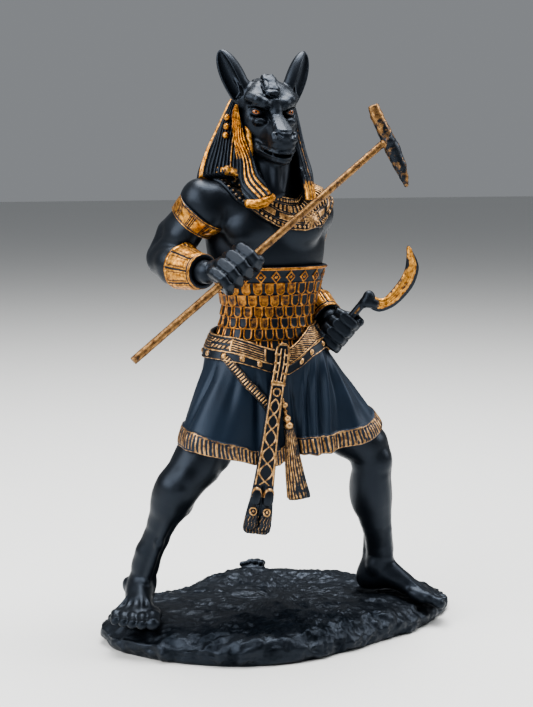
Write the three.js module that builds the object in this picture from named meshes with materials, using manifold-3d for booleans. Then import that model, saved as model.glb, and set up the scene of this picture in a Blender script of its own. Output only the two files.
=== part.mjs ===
// A painted cast-resin figurine of an animal-headed Egyptian god, about 280 mm tall. He lunges on a rough
// rock base, holds a long adze across his chest in his right fist and a sickle in his left fist.
// Millimetres, +Z up. The origin is the centre of the base's underside, and the figure faces -Y.
// His right side is therefore at -X.
import * as THREE from "three";
import { mergeVertices } from "three/addons/utils/BufferGeometryUtils.js";
import Module from "manifold-3d";

const wasm = await Module();
wasm.setup();

// Driving dimensions
const baseHalfLength = 91.5;
const baseHalfDepth = 58;
const gap = 0.3; // left between pieces that touch
const staffRadius = 1.7;
const handleRadius = 2.3;
const up = new THREE.Vector3(0, 0, 1);
const across = new THREE.Vector3(1, 0, 0);

const at = (x, y, z) => new THREE.Vector3(x, y, z);

// The figure's own landmarks
const joint = {
  pelvis: at(-9, -5, 132),
  waist: at(-8.5, -7.5, 158),
  chest: at(-9.5, -9.5, 194),
  neck: at(-9, -10.5, 219),
  skull: at(-10.5, -12.5, 253),
  nose: at(-12.5, -38, 239),
  rightShoulder: at(-38.5, -10, 208),
  rightElbow: at(-57.5, 6, 182.5),
  rightWrist: at(-45.5, -30, 178.5),
  rightFist: at(-37, -42, 180.5),
  leftShoulder: at(12.5, -6.5, 204.5),
  leftElbow: at(14.5, 25, 172),
  leftWrist: at(21, -7, 154.5),
  leftFist: at(25.6, -15.5, 149),
  rightHip: at(-22, -5, 124),
  rightKnee: at(-55.5, -11, 76),
  rightAnkle: at(-71.5, 3, 29),
  leftHip: at(5, -5, 124),
  leftKnee: at(43, -15, 80),
  leftAnkle: at(51.5, -2.5, 29),
};

const paint = {
  black: new THREE.MeshStandardMaterial({ color: "#15181c", roughness: 0.42, metalness: 0 }),
  rock: new THREE.MeshStandardMaterial({ color: "#121417", roughness: 0.5, metalness: 0 }),
  gold: new THREE.MeshStandardMaterial({ color: "#a9782f", roughness: 0.45, metalness: 0.6 }),
};

// Closed lofts

function flat(geometry) {
  geometry.deleteAttribute("normal");
  geometry.deleteAttribute("uv");
  return mergeVertices(geometry, 1e-4);
}

function solidOf(geometry) {
  const merged = flat(geometry.clone());
  const vertProperties = merged.attributes.position.array;
  const triVerts = new Uint32Array(merged.index.array);
  return new wasm.Manifold(new wasm.Mesh({ numProp: 3, vertProperties, triVerts }));
}

function geometryOf(solid) {
  const mesh = solid.getMesh();
  const geometry = new THREE.BufferGeometry();
  geometry.setAttribute("position", new THREE.BufferAttribute(mesh.vertProperties, 3));
  geometry.setIndex(new THREE.BufferAttribute(mesh.triVerts, 1));
  geometry.computeVertexNormals();
  return geometry;
}

// Rings of equal length, in order along the piece, become one closed skin with a fan on each end.
function loft(rings) {
  const count = rings[0].length;
  const points = rings.flat();
  const faces = [];
  for (let k = 0; k + 1 < rings.length; k += 1) {
    for (let i = 0; i < count; i += 1) {
      const a = k * count + i;
      const b = k * count + ((i + 1) % count);
      faces.push(a, b, b + count, a, b + count, a + count);
    }
  }
  for (const [k, turned] of [[0, true], [rings.length - 1, false]]) {
    const middle = rings[k].reduce((sum, p) => sum.add(p), at(0, 0, 0)).divideScalar(count);
    const centre = points.push(middle) - 1;
    for (let i = 0; i < count; i += 1) {
      const a = k * count + i;
      const b = k * count + ((i + 1) % count);
      faces.push(...(turned ? [b, a, centre] : [a, b, centre]));
    }
  }
  if (signedVolume(points, faces) < 0) faces.reverse();
  const geometry = new THREE.BufferGeometry().setFromPoints(points);
  geometry.setIndex(faces);
  return geometry;
}

function signedVolume(points, faces) {
  let sum = 0;
  for (let i = 0; i < faces.length; i += 3) {
    const [a, b, c] = [points[faces[i]], points[faces[i + 1]], points[faces[i + 2]]];
    sum += a.dot(b.clone().cross(c));
  }
  return sum / 6;
}

// A ring of points round a centre, in the plane of two axes, with half sizes a and b.
function ring(centre, axisA, axisB, a, b, sides, shape = 1) {
  return Array.from({ length: sides }, (_, i) => {
    const turn = (i / sides) * Math.PI * 2;
    const c = Math.sign(Math.cos(turn)) * Math.abs(Math.cos(turn)) ** shape;
    const s = Math.sign(Math.sin(turn)) * Math.abs(Math.sin(turn)) ** shape;
    return centre.clone().addScaledVector(axisA, a * c).addScaledVector(axisB, b * s);
  });
}

// A limb: stations are [point, half width, half depth]. Width is measured along the side vector.
function limb(stations, side = across, sides = 10, rounded = true) {
  const rings = [];
  stations.forEach(([point, width, depth], k) => {
    const before = stations[Math.max(k - 1, 0)][0];
    const after = stations[Math.min(k + 1, stations.length - 1)][0];
    const along = after.clone().sub(before).normalize();
    const axisA = side.clone().addScaledVector(along, -side.dot(along)).normalize();
    const axisB = along.clone().cross(axisA);
    const place = (shift, share) =>
      ring(point.clone().addScaledVector(along, shift), axisA, axisB, width * share, depth * share, sides);
    const reach = Math.min(width, depth) * 0.6;
    if (rounded && k === 0) rings.push(place(-reach, 0.68));
    rings.push(place(0, 1));
    if (rounded && k === stations.length - 1) rings.push(place(reach, 0.68));
  });
  return solidOf(loft(rings));
}

const between = (a, b, share) => a.clone().lerp(b, share);
const join = (solids) => solids.reduce((sum, s) => sum.add(s));
const largest = (solid) => solid.decompose().sort((a, b) => b.volume() - a.volume())[0];

// Rock base: a low slab with a steep broken edge, fuller at his right foot and pointed at his left foot

const rockOutline = new THREE.CatmullRomCurve3(
  [
    [91, 5], [77, -17], [61, -31], [45, -39], [22, -49], [-8, -58], [-35, -57], [-58, -47], [-77, -31],
    [-90, -12], [-89, 6], [-78, 23], [-60, 34], [-44, 38], [-24, 53], [-3, 58], [18, 48], [36, 40],
    [56, 30], [76, 20],
  ].map(([x, y]) => at(x, y, 0)),
  true,
);

function rockRelief(x, y) {
  const slope = -6 * THREE.MathUtils.smoothstep(x, 42, 92);
  const lumps = 0.7 * Math.sin(x * 0.21 + 1.3) * Math.cos(y * 0.24) + 0.5 * Math.sin(x * 0.11 - y * 0.17);
  const footMound = 1.6 * Math.exp(-(((x + 74) / 16) ** 2) - ((y + 12) / 16) ** 2);
  const backRise = 4 * Math.exp(-(((x + 2) / 26) ** 2) - ((y - 46) / 11) ** 2);
  const leftRise = 3.4 * Math.exp(-(((x - 38) / 24) ** 2) - ((y - 34) / 11) ** 2);
  return slope + lumps + footMound + backRise + leftRise;
}

function makeBase() {
  const sides = 36;
  const outline = rockOutline.getPoints(sides).slice(0, sides);
  const box = new THREE.Box3().setFromPoints(outline);
  const middle = box.getCenter(at(0, 0, 0));
  const half = box.getSize(at(0, 0, 0)).multiplyScalar(0.5);
  const plan = outline.map((p) =>
    at(((p.x - middle.x) * baseHalfLength) / half.x, ((p.y - middle.y) * baseHalfDepth) / half.y, 0),
  );
  const scaled = (share, height) =>
    plan.map((p) => {
      const q = at(p.x * share, p.y * share, 0);
      q.z = height === undefined ? baseTop(q, share) : height;
      return q;
    });
  const rings = [scaled(1, 0), scaled(1, 3.2), scaled(0.972)];
  for (const share of [0.93, 0.82, 0.66, 0.46, 0.24]) rings.push(scaled(share));
  return solidOf(loft(rings));
}

// Height of the rock's top, with share 1 at the rim and 0 in the middle.
function baseTop(p, share) {
  const crown = 14.5 - 2.2 * share ** 2;
  const edge = 5 * Math.max(0, (share - 0.86) / 0.14) ** 2;
  return crown - edge + rockRelief(p.x, p.y) * (1 - 0.4 * share ** 4);
}

// Body

function makeTorso() {
  const { waist, chest, neck } = joint;
  return limb(
    [
      [waist, 18, 12],
      [at(-9, -9, 176), 25, 16.8],
      [chest, 28.5, 18],
      [at(-10, -9.5, 202), 29, 16.5],
      [at(-10, -9.5, 209), 25.5, 14],
      [at(-9.5, -9.5, 214.5), 17, 11.5],
      [neck, 10.5, 10],
    ],
    across,
    16,
    false,
  );
}

// Scale corset: a band, then rows of overlapping scales that step out at each lower edge
function makeCorset() {
  const rows = 6;
  const topZ = 180;
  const rowHeight = 6.4;
  const tip = 1.1;
  const rings = [];
  const stand = (z, out) => {
    const share = (z - 140) / 40;
    const centre = between(at(-9, -6.2, 140), at(-9, -9, 180), share);
    const half = 23.4 + 3.6 * Math.abs(share - 0.42) ** 1.4 * 2.6;
    return ring(centre, across, at(0, 1, 0), half + out, half * 0.68 + out, 20);
  };
  rings.push(stand(topZ, 0.2), stand(topZ - 0.4, 1.3), stand(topZ - 6.2, 1.3));
  for (let row = 0; row < rows; row += 1) {
    const z = topZ - 6.4 - row * rowHeight;
    rings.push(stand(z, 0.5), stand(z - rowHeight + 0.5, 0.5 + tip));
  }
  return solidOf(loft(rings));
}

function makeKilt() {
  const sides = 26;
  const levels = [
    [0, 1], [0.3, 1], [0.6, 1], [0.86, 1], [0.88, 1.014], [1, 1.02],
  ];
  // Angle 0 is his left side and 270 degrees the front, where the middle panel is set back.
  const point = (turn, share, grow) => {
    const c = Math.cos(turn);
    const s = Math.sin(turn);
    const front = Math.exp(-(((turn - Math.PI * 1.478) / 0.2) ** 2));
    const top = at(-8.5 + 26.5 * c, -5.5 + 18.5 * s, 141 + 3 * s);
    const hem = at(-2.5 + 52.5 * c, -6 + 27.5 * s, 90 + 8 * c * c + (s < 0 ? 0 : 2));
    const p = top.lerp(hem, share);
    const axis = at(-6, -5.5, p.z);
    const reach = (grow + 0.035 * Math.sin(share * Math.PI)) * (1 - 0.22 * front * share);
    return axis.add(p.sub(at(-6, -5.5, p.z)).multiplyScalar(reach));
  };
  const turns = Array.from({ length: sides }, (_, i) => (i / sides) * Math.PI * 2);
  const rings = levels.map(([share, grow]) => turns.map((turn) => point(turn, share, grow)));
  const under = (shrink, rise) => turns.map((turn) => point(turn, 1, shrink).add(at(0, 0, rise)));
  rings.push(under(0.95, 0.2), under(0.86, 9));
  return solidOf(loft(rings));
}

function makeBelt() {
  const sides = 24;
  const turns = Array.from({ length: sides }, (_, i) => (i / sides) * Math.PI * 2);
  // The belt hangs lower in front, under the buckle.
  const edge = (z, out) =>
    turns.map((turn) => {
      const s = Math.sin(turn);
      const drop = s < 0 ? 8 * s ** 6 : 0;
      return at(-8.5 + (26.2 + out) * Math.cos(turn), -5.8 + (18 + out) * s, z - drop);
    });
  return solidOf(
    loft([
      edge(149.5, 0), edge(149, 1.3), edge(142.5, 1.9), edge(142, 2.6), edge(138.5, 2.9), edge(138, 1),
    ]),
  );
}

// Collar: a broad bead collar that lies over the chest and shoulders
function makeCollar() {
  const sides = 22;
  const turns = Array.from({ length: sides }, (_, i) => (i / sides) * Math.PI * 2);
  const edge = (halfX, halfY, z, sag) =>
    turns.map((turn) => {
      const s = Math.sin(turn);
      const front = Math.max(0, -s);
      return at(-9.5 + halfX * Math.cos(turn), -10 + halfY * s, z - sag * front ** 1.5);
    });
  return solidOf(
    loft([
      edge(28.5, 18.6, 205.5, 12), edge(30.5, 19.4, 205, 13), edge(30.3, 19.2, 207, 13),
      edge(22, 15.5, 214.5, 9), edge(12, 11, 221.5, 7), edge(10.5, 10, 218, 7),
    ]),
  );
}

function makeRightArm() {
  const { rightShoulder: s, rightElbow: e, rightWrist: w } = joint;
  return join([
    limb([
      [between(s, at(-20, -9, 206), 0.3), 10, 10],
      [s, 11.6, 11.4],
      [between(s, e, 0.3), 10.4, 10.8],
      [between(s, e, 0.6), 9.4, 10],
      [between(s, e, 0.85), 8.2, 8.4],
      [e, 8.2, 8],
    ], up),
    limb([
      [e, 8, 7.8],
      [between(e, w, 0.3), 8.8, 8.6],
      [between(e, w, 0.55), 7.8, 7.6],
      [w, 5.6, 5],
      [between(w, joint.rightFist, 0.5), 5.6, 5],
    ], up),
    // arm ring and wrist guard
    cuff(s, e, 0.32, 0.6, 11.1, 10.6),
    cuff(e, w, 0.52, 0.95, 8.8, 7.2),
  ]);
}

function makeLeftArm() {
  const { leftShoulder: s, leftElbow: e, leftWrist: w } = joint;
  return join([
    limb([
      [between(s, at(-4, -8, 206), 0.3), 10, 10],
      [s, 9.8, 10.6],
      [between(s, e, 0.35), 9.2, 9.8],
      [between(s, e, 0.7), 8.8, 9],
      [e, 7.8, 8],
    ], across),
    limb([
      [e, 7.8, 7.8],
      [between(e, w, 0.3), 8.4, 8.4],
      [between(e, w, 0.6), 7.2, 7.2],
      [w, 5.4, 5],
      [between(w, joint.leftFist, 0.5), 5.4, 5],
    ], across),
    cuff(s, e, 0.36, 0.62, 10.8, 10.4),
    cuff(e, w, 0.55, 0.96, 8.2, 6.8),
  ]);
}

function cuff(from, to, start, end, startRadius, endRadius) {
  const station = (share, radius) => [between(from, to, share), radius, radius];
  return limb([station(start, startRadius), station(end, endRadius)], up, 12, false);
}

// Fist round a rod: lofted along the rod, wide at each of the four fingers and narrow between them.
// The heel of the hand reaches back to the wrist, and the thumb closes over the front.
function makeFist(wrist, centre, rodAxis) {
  const out = centre.clone().sub(wrist).normalize();
  const axis = rodAxis.clone().normalize();
  const reach = out.clone().addScaledVector(axis, -out.dot(axis)).normalize();
  const normal = axis.clone().cross(reach).normalize();
  const place = (a, b, c) =>
    centre.clone().addScaledVector(axis, a).addScaledVector(reach, b).addScaledVector(normal, c);
  const knuckles = [];
  for (let k = 0; k <= 8; k += 1) {
    const finger = k % 2 === 1;
    const end = k === 0 || k === 8;
    const size = finger ? 1 : end ? 0.8 : 0.9;
    knuckles.push(ring(place((k - 4) * 2.5, -1.2, 0.4), reach, normal, 7 * size, 5.8 * size, 10, 0.85));
  }
  const heel = limb([[place(0, -10, 1), 5, 3.8], [place(0, -4, 1), 6.6, 4.6]], axis, 8);
  const thumb = limb(
    [[place(6, -5.4, -3), 2.5, 2.4], [place(8.6, -1, -5.2), 2.4, 2.2], [place(6, 2.6, -5.8), 2.1, 1.9]],
    axis,
    6,
  );
  return join([solidOf(loft(knuckles)), heel, thumb]);
}

function makeLeg(hip, knee, ankle, toward, outer) {
  const along = (share, amount) => between(knee, ankle, share).addScaledVector(toward, amount);
  return limb(
    [
      [between(hip, knee, 0.1), 13.6, 14],
      [between(hip, knee, 0.5), 11.6, 13],
      [between(hip, knee, 0.8), 9.3, 10.6],
      [knee.clone().addScaledVector(toward, -0.6), 8.4 + outer, 8.8],
      [along(0.18, 0.6), 8 + outer, 8.6],
      [along(0.42, 1.4), 7.6 + outer, 8.6],
      [along(0.72, 0.5), 6.6, 7],
      [along(0.94, 0), 6, 6.4],
      [ankle.clone().add(at(0, 0, -6)), 6.2, 6.8],
    ],
    across,
    12,
  );
}

// Foot: heel to toes along a heading, on the rock. inside is the big toe's side, drop the fall of the toes.
function makeFoot(ankle, heading, inside, drop) {
  const forward = heading.clone().normalize();
  const side = forward.clone().cross(up).multiplyScalar(inside).normalize();
  const soleZ = 14.2;
  const place = (a, b, z) =>
    at(ankle.x, ankle.y, 0)
      .addScaledVector(forward, a)
      .addScaledVector(side, b)
      .setZ(soleZ + z - drop * THREE.MathUtils.smoothstep(a, 0, 36));
  const sole = limb(
    [
      [place(-8, 0, 5), 5, 4.8],
      [place(-2, 0, 6.6), 6, 6.6],
      [place(6, 0, 6.4), 6.4, 6.4],
      [place(14, 0, 4.6), 7.6, 4.8],
      [place(22, 0.4, 3), 9, 3.6],
      [place(26, 0.8, 2.4), 8.8, 2.8],
    ],
    side,
    10,
  );
  const toes = [0, 1, 2, 3, 4].map((k) => {
    const spread = 7.4 - k * 3.9;
    const length = 34.5 - [0.4, 0, 1.4, 3.2, 5.4][k];
    const radius = k === 0 ? 2.5 : 2 - k * 0.08;
    return limb(
      [
        [place(23, spread * 0.86, 2.8), radius, radius],
        [place(length - 1.5, spread * 1.02, 2.2), radius, radius * 0.85],
      ],
      side,
      6,
    );
  });
  return join([sole, ...toes]);
}

// Animal head with a long muzzle, tall hollow ears and a striped wig behind
function makeHead() {
  const { skull, nose, neck } = joint;
  const muzzle = nose.clone().sub(skull).normalize();
  const head = limb(
    [
      [at(-10, -4, 255), 9.5, 9.5],
      [at(-10.3, -11, 256), 12.2, 12],
      [at(-10.6, -18, 252.5), 11.6, 11],
      [at(-11.2, -24, 248), 8.8, 9.4],
      [at(-11.7, -30, 243.5), 6.8, 7.8],
      [at(-12.2, -35, 240), 6.2, 6.8],
      [nose.clone().addScaledVector(muzzle, 1), 4.6, 5],
    ],
    across,
    12,
  );
  const jaw = limb(
    [[at(-10.6, -12, 244), 8, 6], [at(-11, -21, 239), 6.4, 5], [at(-11.4, -30, 234.5), 4.6, 3.6]],
    across,
    10,
  );
  const throat = limb([[neck, 10.4, 10.2], [at(-9.5, -11.5, 230), 9.6, 10], [at(-10, -10, 246), 9.6, 10.6]]);
  const crest = limb(
    [[at(-10.5, -6, 266.5), 3, 2], [at(-10.6, -13, 267.6), 3.2, 2.2], [at(-10.8, -20, 262.5), 2.4, 1.8]],
    across,
    8,
  );
  return join([head, jaw, throat, crest, makeEar(-1), makeEar(1)]);
}

function makeEar(side) {
  const root = at(-10.5 + 10.5 * side, -8.5, 257);
  const tip = at(side < 0 ? -31.5 : 8.5, side < 0 ? -5 : -9, 279.6);
  const facing = at(side * 0.35, -0.94, 0).normalize();
  const along = tip.clone().sub(root).normalize();
  const wide = along.clone().cross(facing).normalize();
  const outline = [[0, 4.6], [0.24, 5.8], [0.5, 5.8], [0.76, 4], [0.96, 1.3]];
  const shell = (grow, push) =>
    limb(
      outline.map(([share, half]) => [
        between(root, tip, share).addScaledVector(facing, push),
        Math.max(half + grow, 0.5),
        Math.max((half + grow) * 0.62, 0.4),
      ]),
      wide,
      8,
      false,
    );
  return shell(0, 0).subtract(shell(-1, 2.6));
}

function makeWig() {
  const back = limb(
    [
      [at(-10.3, -2.5, 262), 10.5, 8],
      [at(-10.2, 1.5, 254), 14.5, 11.5],
      [at(-10, 3.5, 243), 17.5, 12.5],
      [at(-10, 5, 230), 22, 12],
      [at(-10, 6, 218), 26.5, 10],
      [at(-10, 8, 206), 26.5, 6.5],
      [at(-10, 9.5, 196), 24, 4],
    ],
    across,
    14,
  );
  const lappet = (side, foot) =>
    limb(
      [
        [at(-10 + 12 * side, -7, 254), 4, 5],
        [at(-10.5 + 13 * side, -10, 240), 4.6, 5.4],
        [at(-10 + 14.5 * side, -15, 226), 5.2, 4.6],
        [foot, 5.4, 3.6],
      ],
      across,
      10,
      false,
    );
  return join([back, lappet(-1, at(-20.5, -27.5, 209.5)), lappet(1, at(3.5, -27.5, 210))]);
}

// Belt buckle strap that hangs free between the legs and ends in two carved heads
function makeFlap() {
  const stations = [
    [at(-9.8, -25.5, 144.5), 3, 1.6], [at(-10, -26.6, 142.5), 4, 1.8], [at(-11, -28, 134), 3.7, 1.8],
    [at(-12.6, -30.6, 124), 3.9, 1.8], [at(-16, -33.5, 105), 4.6, 1.8], [at(-20, -34.5, 82), 5.6, 2],
    [at(-22, -34.7, 71), 6.2, 2.2], [at(-22.2, -34.9, 69), 6.6, 3.6], [at(-23.6, -34.9, 60), 6.9, 3.8],
    [at(-24, -34.9, 57), 6.2, 3.2],
  ];
  return limb(stations, across, 8, false);
}

function makeTassel() {
  return join([
    limb([
      [at(-7.5, -24, 126), 1.3, 1.3],
      [at(-7, -27, 112), 1.4, 1.4],
      [at(-6.2, -29.5, 104), 1.6, 1.6],
    ], across, 8),
    limb([
      [at(-6.1, -29.6, 107), 1.7, 1.7],
      [at(-5.8, -29.9, 102), 2.6, 2.2],
      [at(-4, -30, 88), 4.2, 3],
      [at(-2, -30, 74), 6, 3.4],
      [at(-1.9, -30, 72.4), 5.4, 2.8],
    ], across, 8, false),
  ]);
}

// Held tools

const staffLow = at(-85, -50.5, 143.5);
const staffTop = at(37.5, -38.5, 238.5);
const handleLow = at(17.5, -13, 139.5);
const handleTop = at(36.5, -19.5, 163.5);

function makeStaff() {
  const along = staffTop.clone().sub(staffLow).normalize();
  const rod = limb(
    [[staffLow, staffRadius, staffRadius], [staffTop, staffRadius, staffRadius]],
    up,
    8,
    false,
  );
  const middle = staffTop.clone().addScaledVector(along, 0.8);
  const head = limb(
    [
      [at(31.2, -38, 254.6), 3, 2.2],
      [at(33.2, -38.2, 248), 3, 2.2],
      [middle.clone().add(at(-0.4, 0, 1)), 3.7, 2.6],
      [at(43, -39, 230.5), 3.3, 2.3],
      [at(46.3, -39.5, 223), 2, 1.7],
      [at(47.6, -39.7, 217.6), 0.9, 0.9],
    ],
    along,
    8,
    false,
  );
  return rod.add(head);
}

function makeSickle() {
  const handle = limb(
    [
      [handleLow, 1.8, 1.8],
      [between(handleLow, handleTop, 0.12), handleRadius, handleRadius],
      [handleTop, handleRadius, handleRadius],
    ],
    across,
    10,
    false,
  );
  // The blade sweeps through most of a half circle from the socket to the tip.
  const centre = at(38, -21.5, 182);
  const blade = [];
  for (let k = 0; k <= 8; k += 1) {
    const share = k / 8;
    const turn = THREE.MathUtils.degToRad(-92 + 116 * share);
    const reachOut = 19 + 1.8 * Math.sin(share * Math.PI);
    const half = 0.8 + 2.5 * Math.sin(Math.PI * (0.22 + 0.74 * share)) ** 0.8;
    blade.push([
      centre.clone().add(at(reachOut * Math.cos(turn), -6.5 * share, reachOut * Math.sin(turn))),
      half,
      half * 0.55,
    ]);
  }
  const socket = limb([[handleTop, 2.7, 2.7], [blade[0][0], 2.6, 2.2]], across, 10);
  const radial = at(0.2, -1, 0).cross(at(0, 0, 1));
  return join([handle, socket, limb(blade, radial, 8, false)]);
}

function makeFigure(base) {
  const staffAxis = staffTop.clone().sub(staffLow);
  const handleAxis = handleTop.clone().sub(handleLow);
  const solids = [
    makeTorso(), makeCorset(), makeKilt(), makeBelt(), makeCollar(), makeHead(), makeWig(),
    makeRightArm(), makeLeftArm(), makeFlap(), makeTassel(),
    makeFist(joint.rightWrist, joint.rightFist, staffAxis),
    makeFist(joint.leftWrist, joint.leftFist, handleAxis),
    makeLeg(joint.rightHip, joint.rightKnee, joint.rightAnkle, at(0.1, 1, 0), 0),
    makeLeg(joint.leftHip, joint.leftKnee, joint.leftAnkle, at(-0.5, 0.86, 0), 0.4),
    makeFoot(joint.rightAnkle, at(-0.26, -0.965, 0), -1, 0),
    makeFoot(joint.leftAnkle, at(0.81, -0.58, 0), 1, 5.5),
  ];
  const bore = (a, b, radius) => limb([[a, radius, radius], [b, radius, radius]], up, 12, false);
  return largest(
    join(solids)
      .subtract(bore(staffLow, staffTop, staffRadius + gap))
      .subtract(bore(handleLow.clone().lerp(handleTop, -0.2), handleTop, handleRadius + gap))
      .subtract(base.translate([0, 0, gap])),
  );
}

function part(name, solid, material) {
  const mesh = new THREE.Mesh(geometryOf(solid), material);
  mesh.name = name;
  return mesh;
}

const base = makeBase();
const figurine = new THREE.Group();
figurine.add(
  part("rock_base", base, paint.rock),
  part("figure", makeFigure(base), paint.black),
  part("adze_staff", makeStaff(), paint.gold),
  part("sickle", makeSickle(), paint.gold),
);

export default figurine;
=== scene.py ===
import math
import bpy
import numpy as np
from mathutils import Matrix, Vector


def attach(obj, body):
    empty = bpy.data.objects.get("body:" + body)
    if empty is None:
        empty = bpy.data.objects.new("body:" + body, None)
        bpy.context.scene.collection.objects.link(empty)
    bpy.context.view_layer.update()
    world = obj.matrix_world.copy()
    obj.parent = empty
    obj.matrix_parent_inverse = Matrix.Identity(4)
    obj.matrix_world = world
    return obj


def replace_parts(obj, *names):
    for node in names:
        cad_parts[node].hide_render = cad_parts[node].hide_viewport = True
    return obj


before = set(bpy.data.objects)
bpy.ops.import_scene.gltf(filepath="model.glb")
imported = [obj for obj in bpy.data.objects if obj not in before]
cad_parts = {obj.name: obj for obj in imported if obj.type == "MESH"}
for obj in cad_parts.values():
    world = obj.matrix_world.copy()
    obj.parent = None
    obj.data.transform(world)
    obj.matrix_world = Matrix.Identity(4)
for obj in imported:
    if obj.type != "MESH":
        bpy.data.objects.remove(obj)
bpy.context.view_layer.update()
coarse = 1.0
millimetre = 0.001
print("frame loaded")


# Every shape below is worked out in millimetres in the frame's own axes.
# makeMesh turns it into metres.

def fine(count):
    return int(count / coarse)


def turns(count, start=0.0):
    # angles once round
    return np.linspace(start, start + 2 * np.pi, count, endpoint=False)


# Colour and material helpers

def srgb(hexCode):
    values = [int(hexCode[i : i + 2], 16) / 255 for i in (1, 3, 5)]
    linear = [v / 12.92 if v <= 0.04045 else ((v + 0.055) / 1.055) ** 2.4 for v in values]
    return (*linear, 1.0)


def putNode(tree, kind, inputs=None, **settings):
    node = tree.nodes.new(kind)
    for key, value in settings.items():
        setattr(node, key, value)
    for key, value in (inputs or {}).items():
        if isinstance(value, bpy.types.NodeSocket):
            tree.links.new(value, node.inputs[key])
        else:
            node.inputs[key].default_value = value
    return node


# Noise worked out on points, in millimetres

def hashed(cell, seed):
    x, y, z = (cell[:, i].astype(np.int64) for i in range(3))
    h = (x * 73856093) ^ (y * 19349663) ^ (z * 83492791) ^ (seed * 2654435761)
    h = (h ^ (h >> 13)) * 1274126177
    return ((h ^ (h >> 16)) & 0xFFFF) / 65535.0


def softNoise(p, size, seed=0):
    q = p / size
    cell = np.floor(q)
    f = q - cell
    f = f * f * (3 - 2 * f)
    total = np.zeros(len(p))
    for corner in range(8):
        step = np.array([(corner >> i) & 1 for i in range(3)])
        weight = np.prod(np.where(step, f, 1 - f), axis=1)
        total += weight * hashed(cell + step, seed)
    return total * 2 - 1


def roughNoise(p, size, octaves=4, seed=0):
    return sum(softNoise(p, size / 2**k, seed + k) / 2**k for k in range(octaves))


# Clay kit: distance fields that melt into each other, and a skin drawn round them

def length(q):
    return np.sqrt(np.einsum("ij,ij->i", q, q))


def melt(a, b, k):
    h = np.maximum(k - np.abs(a - b), 0) / k
    return np.minimum(a, b) - h * h * k * 0.25


def carve(a, b, k):
    return -melt(-a, b, k)


def taper(p, start, end, startRadius, endRadius):
    start, end = np.array(start, float), np.array(end, float)
    run = end - start
    t = np.clip((p - start) @ run / (run @ run), 0, 1)
    return length(p - start - t[:, None] * run) - (startRadius + (endRadius - startRadius) * t)


def strand(p, stations, k=1.0):
    # a chain of tapers through stations of (x, y, z, radius)
    d = None
    for a, b in zip(stations, stations[1:]):
        piece = taper(p, a[:3], b[:3], a[3], b[3])
        d = piece if d is None else melt(d, piece, k)
    return d


def lump(p, centre, radii):
    q = p - np.array(centre, float)
    r = np.array(radii, float)
    a = length(q / r)
    b = length(q / (r * r)) + 1e-9
    return a * (a - 1) / b


def unit(v):
    v = np.array(v, float)
    return v / np.linalg.norm(v)


def flattened(p, centre, normal, share):
    # makes whatever is measured afterwards thinner along the normal
    n = unit(normal)
    c = np.array(centre, float)
    return p + ((p - c) @ n)[:, None] * n * (1 / share - 1)


def smooth(x, low, high):
    t = np.clip((x - low) / (high - low), 0, 1)
    return t * t * (3 - 2 * t)


def bump(x, middle, width):
    return np.exp(-(((x - middle) / width) ** 2))


blockCells = 8


def sampled(field, low, high, step):
    # the field on a grid, worked out in full only in blocks that the surface may cross
    low, high = np.array(low, float), np.array(high, float)
    blocks = np.ceil((high - low) / step / blockCells).astype(int)
    counts = blocks * blockCells
    index = np.stack(np.meshgrid(*[np.arange(n) for n in blocks], indexing="ij"), -1).reshape(-1, 3)
    middle = low + (index + 0.5) * blockCells * step
    rough = field(middle)
    grid = rough.reshape(blocks)
    for axis in range(3):
        grid = np.repeat(grid, blockCells, axis)
    near = index[np.abs(rough) < blockCells * step * 1.5 + 1.0]
    inner = np.stack(np.meshgrid(*[np.arange(blockCells)] * 3, indexing="ij"), -1).reshape(-1, 3)
    for part in np.array_split(near, max(1, len(near) // 400)):
        cells = (part[:, None, :] * blockCells + inner[None]).reshape(-1, 3)
        values = field(low + cells * step)
        grid[cells[:, 0], cells[:, 1], cells[:, 2]] = values
    return grid, low, counts


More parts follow.
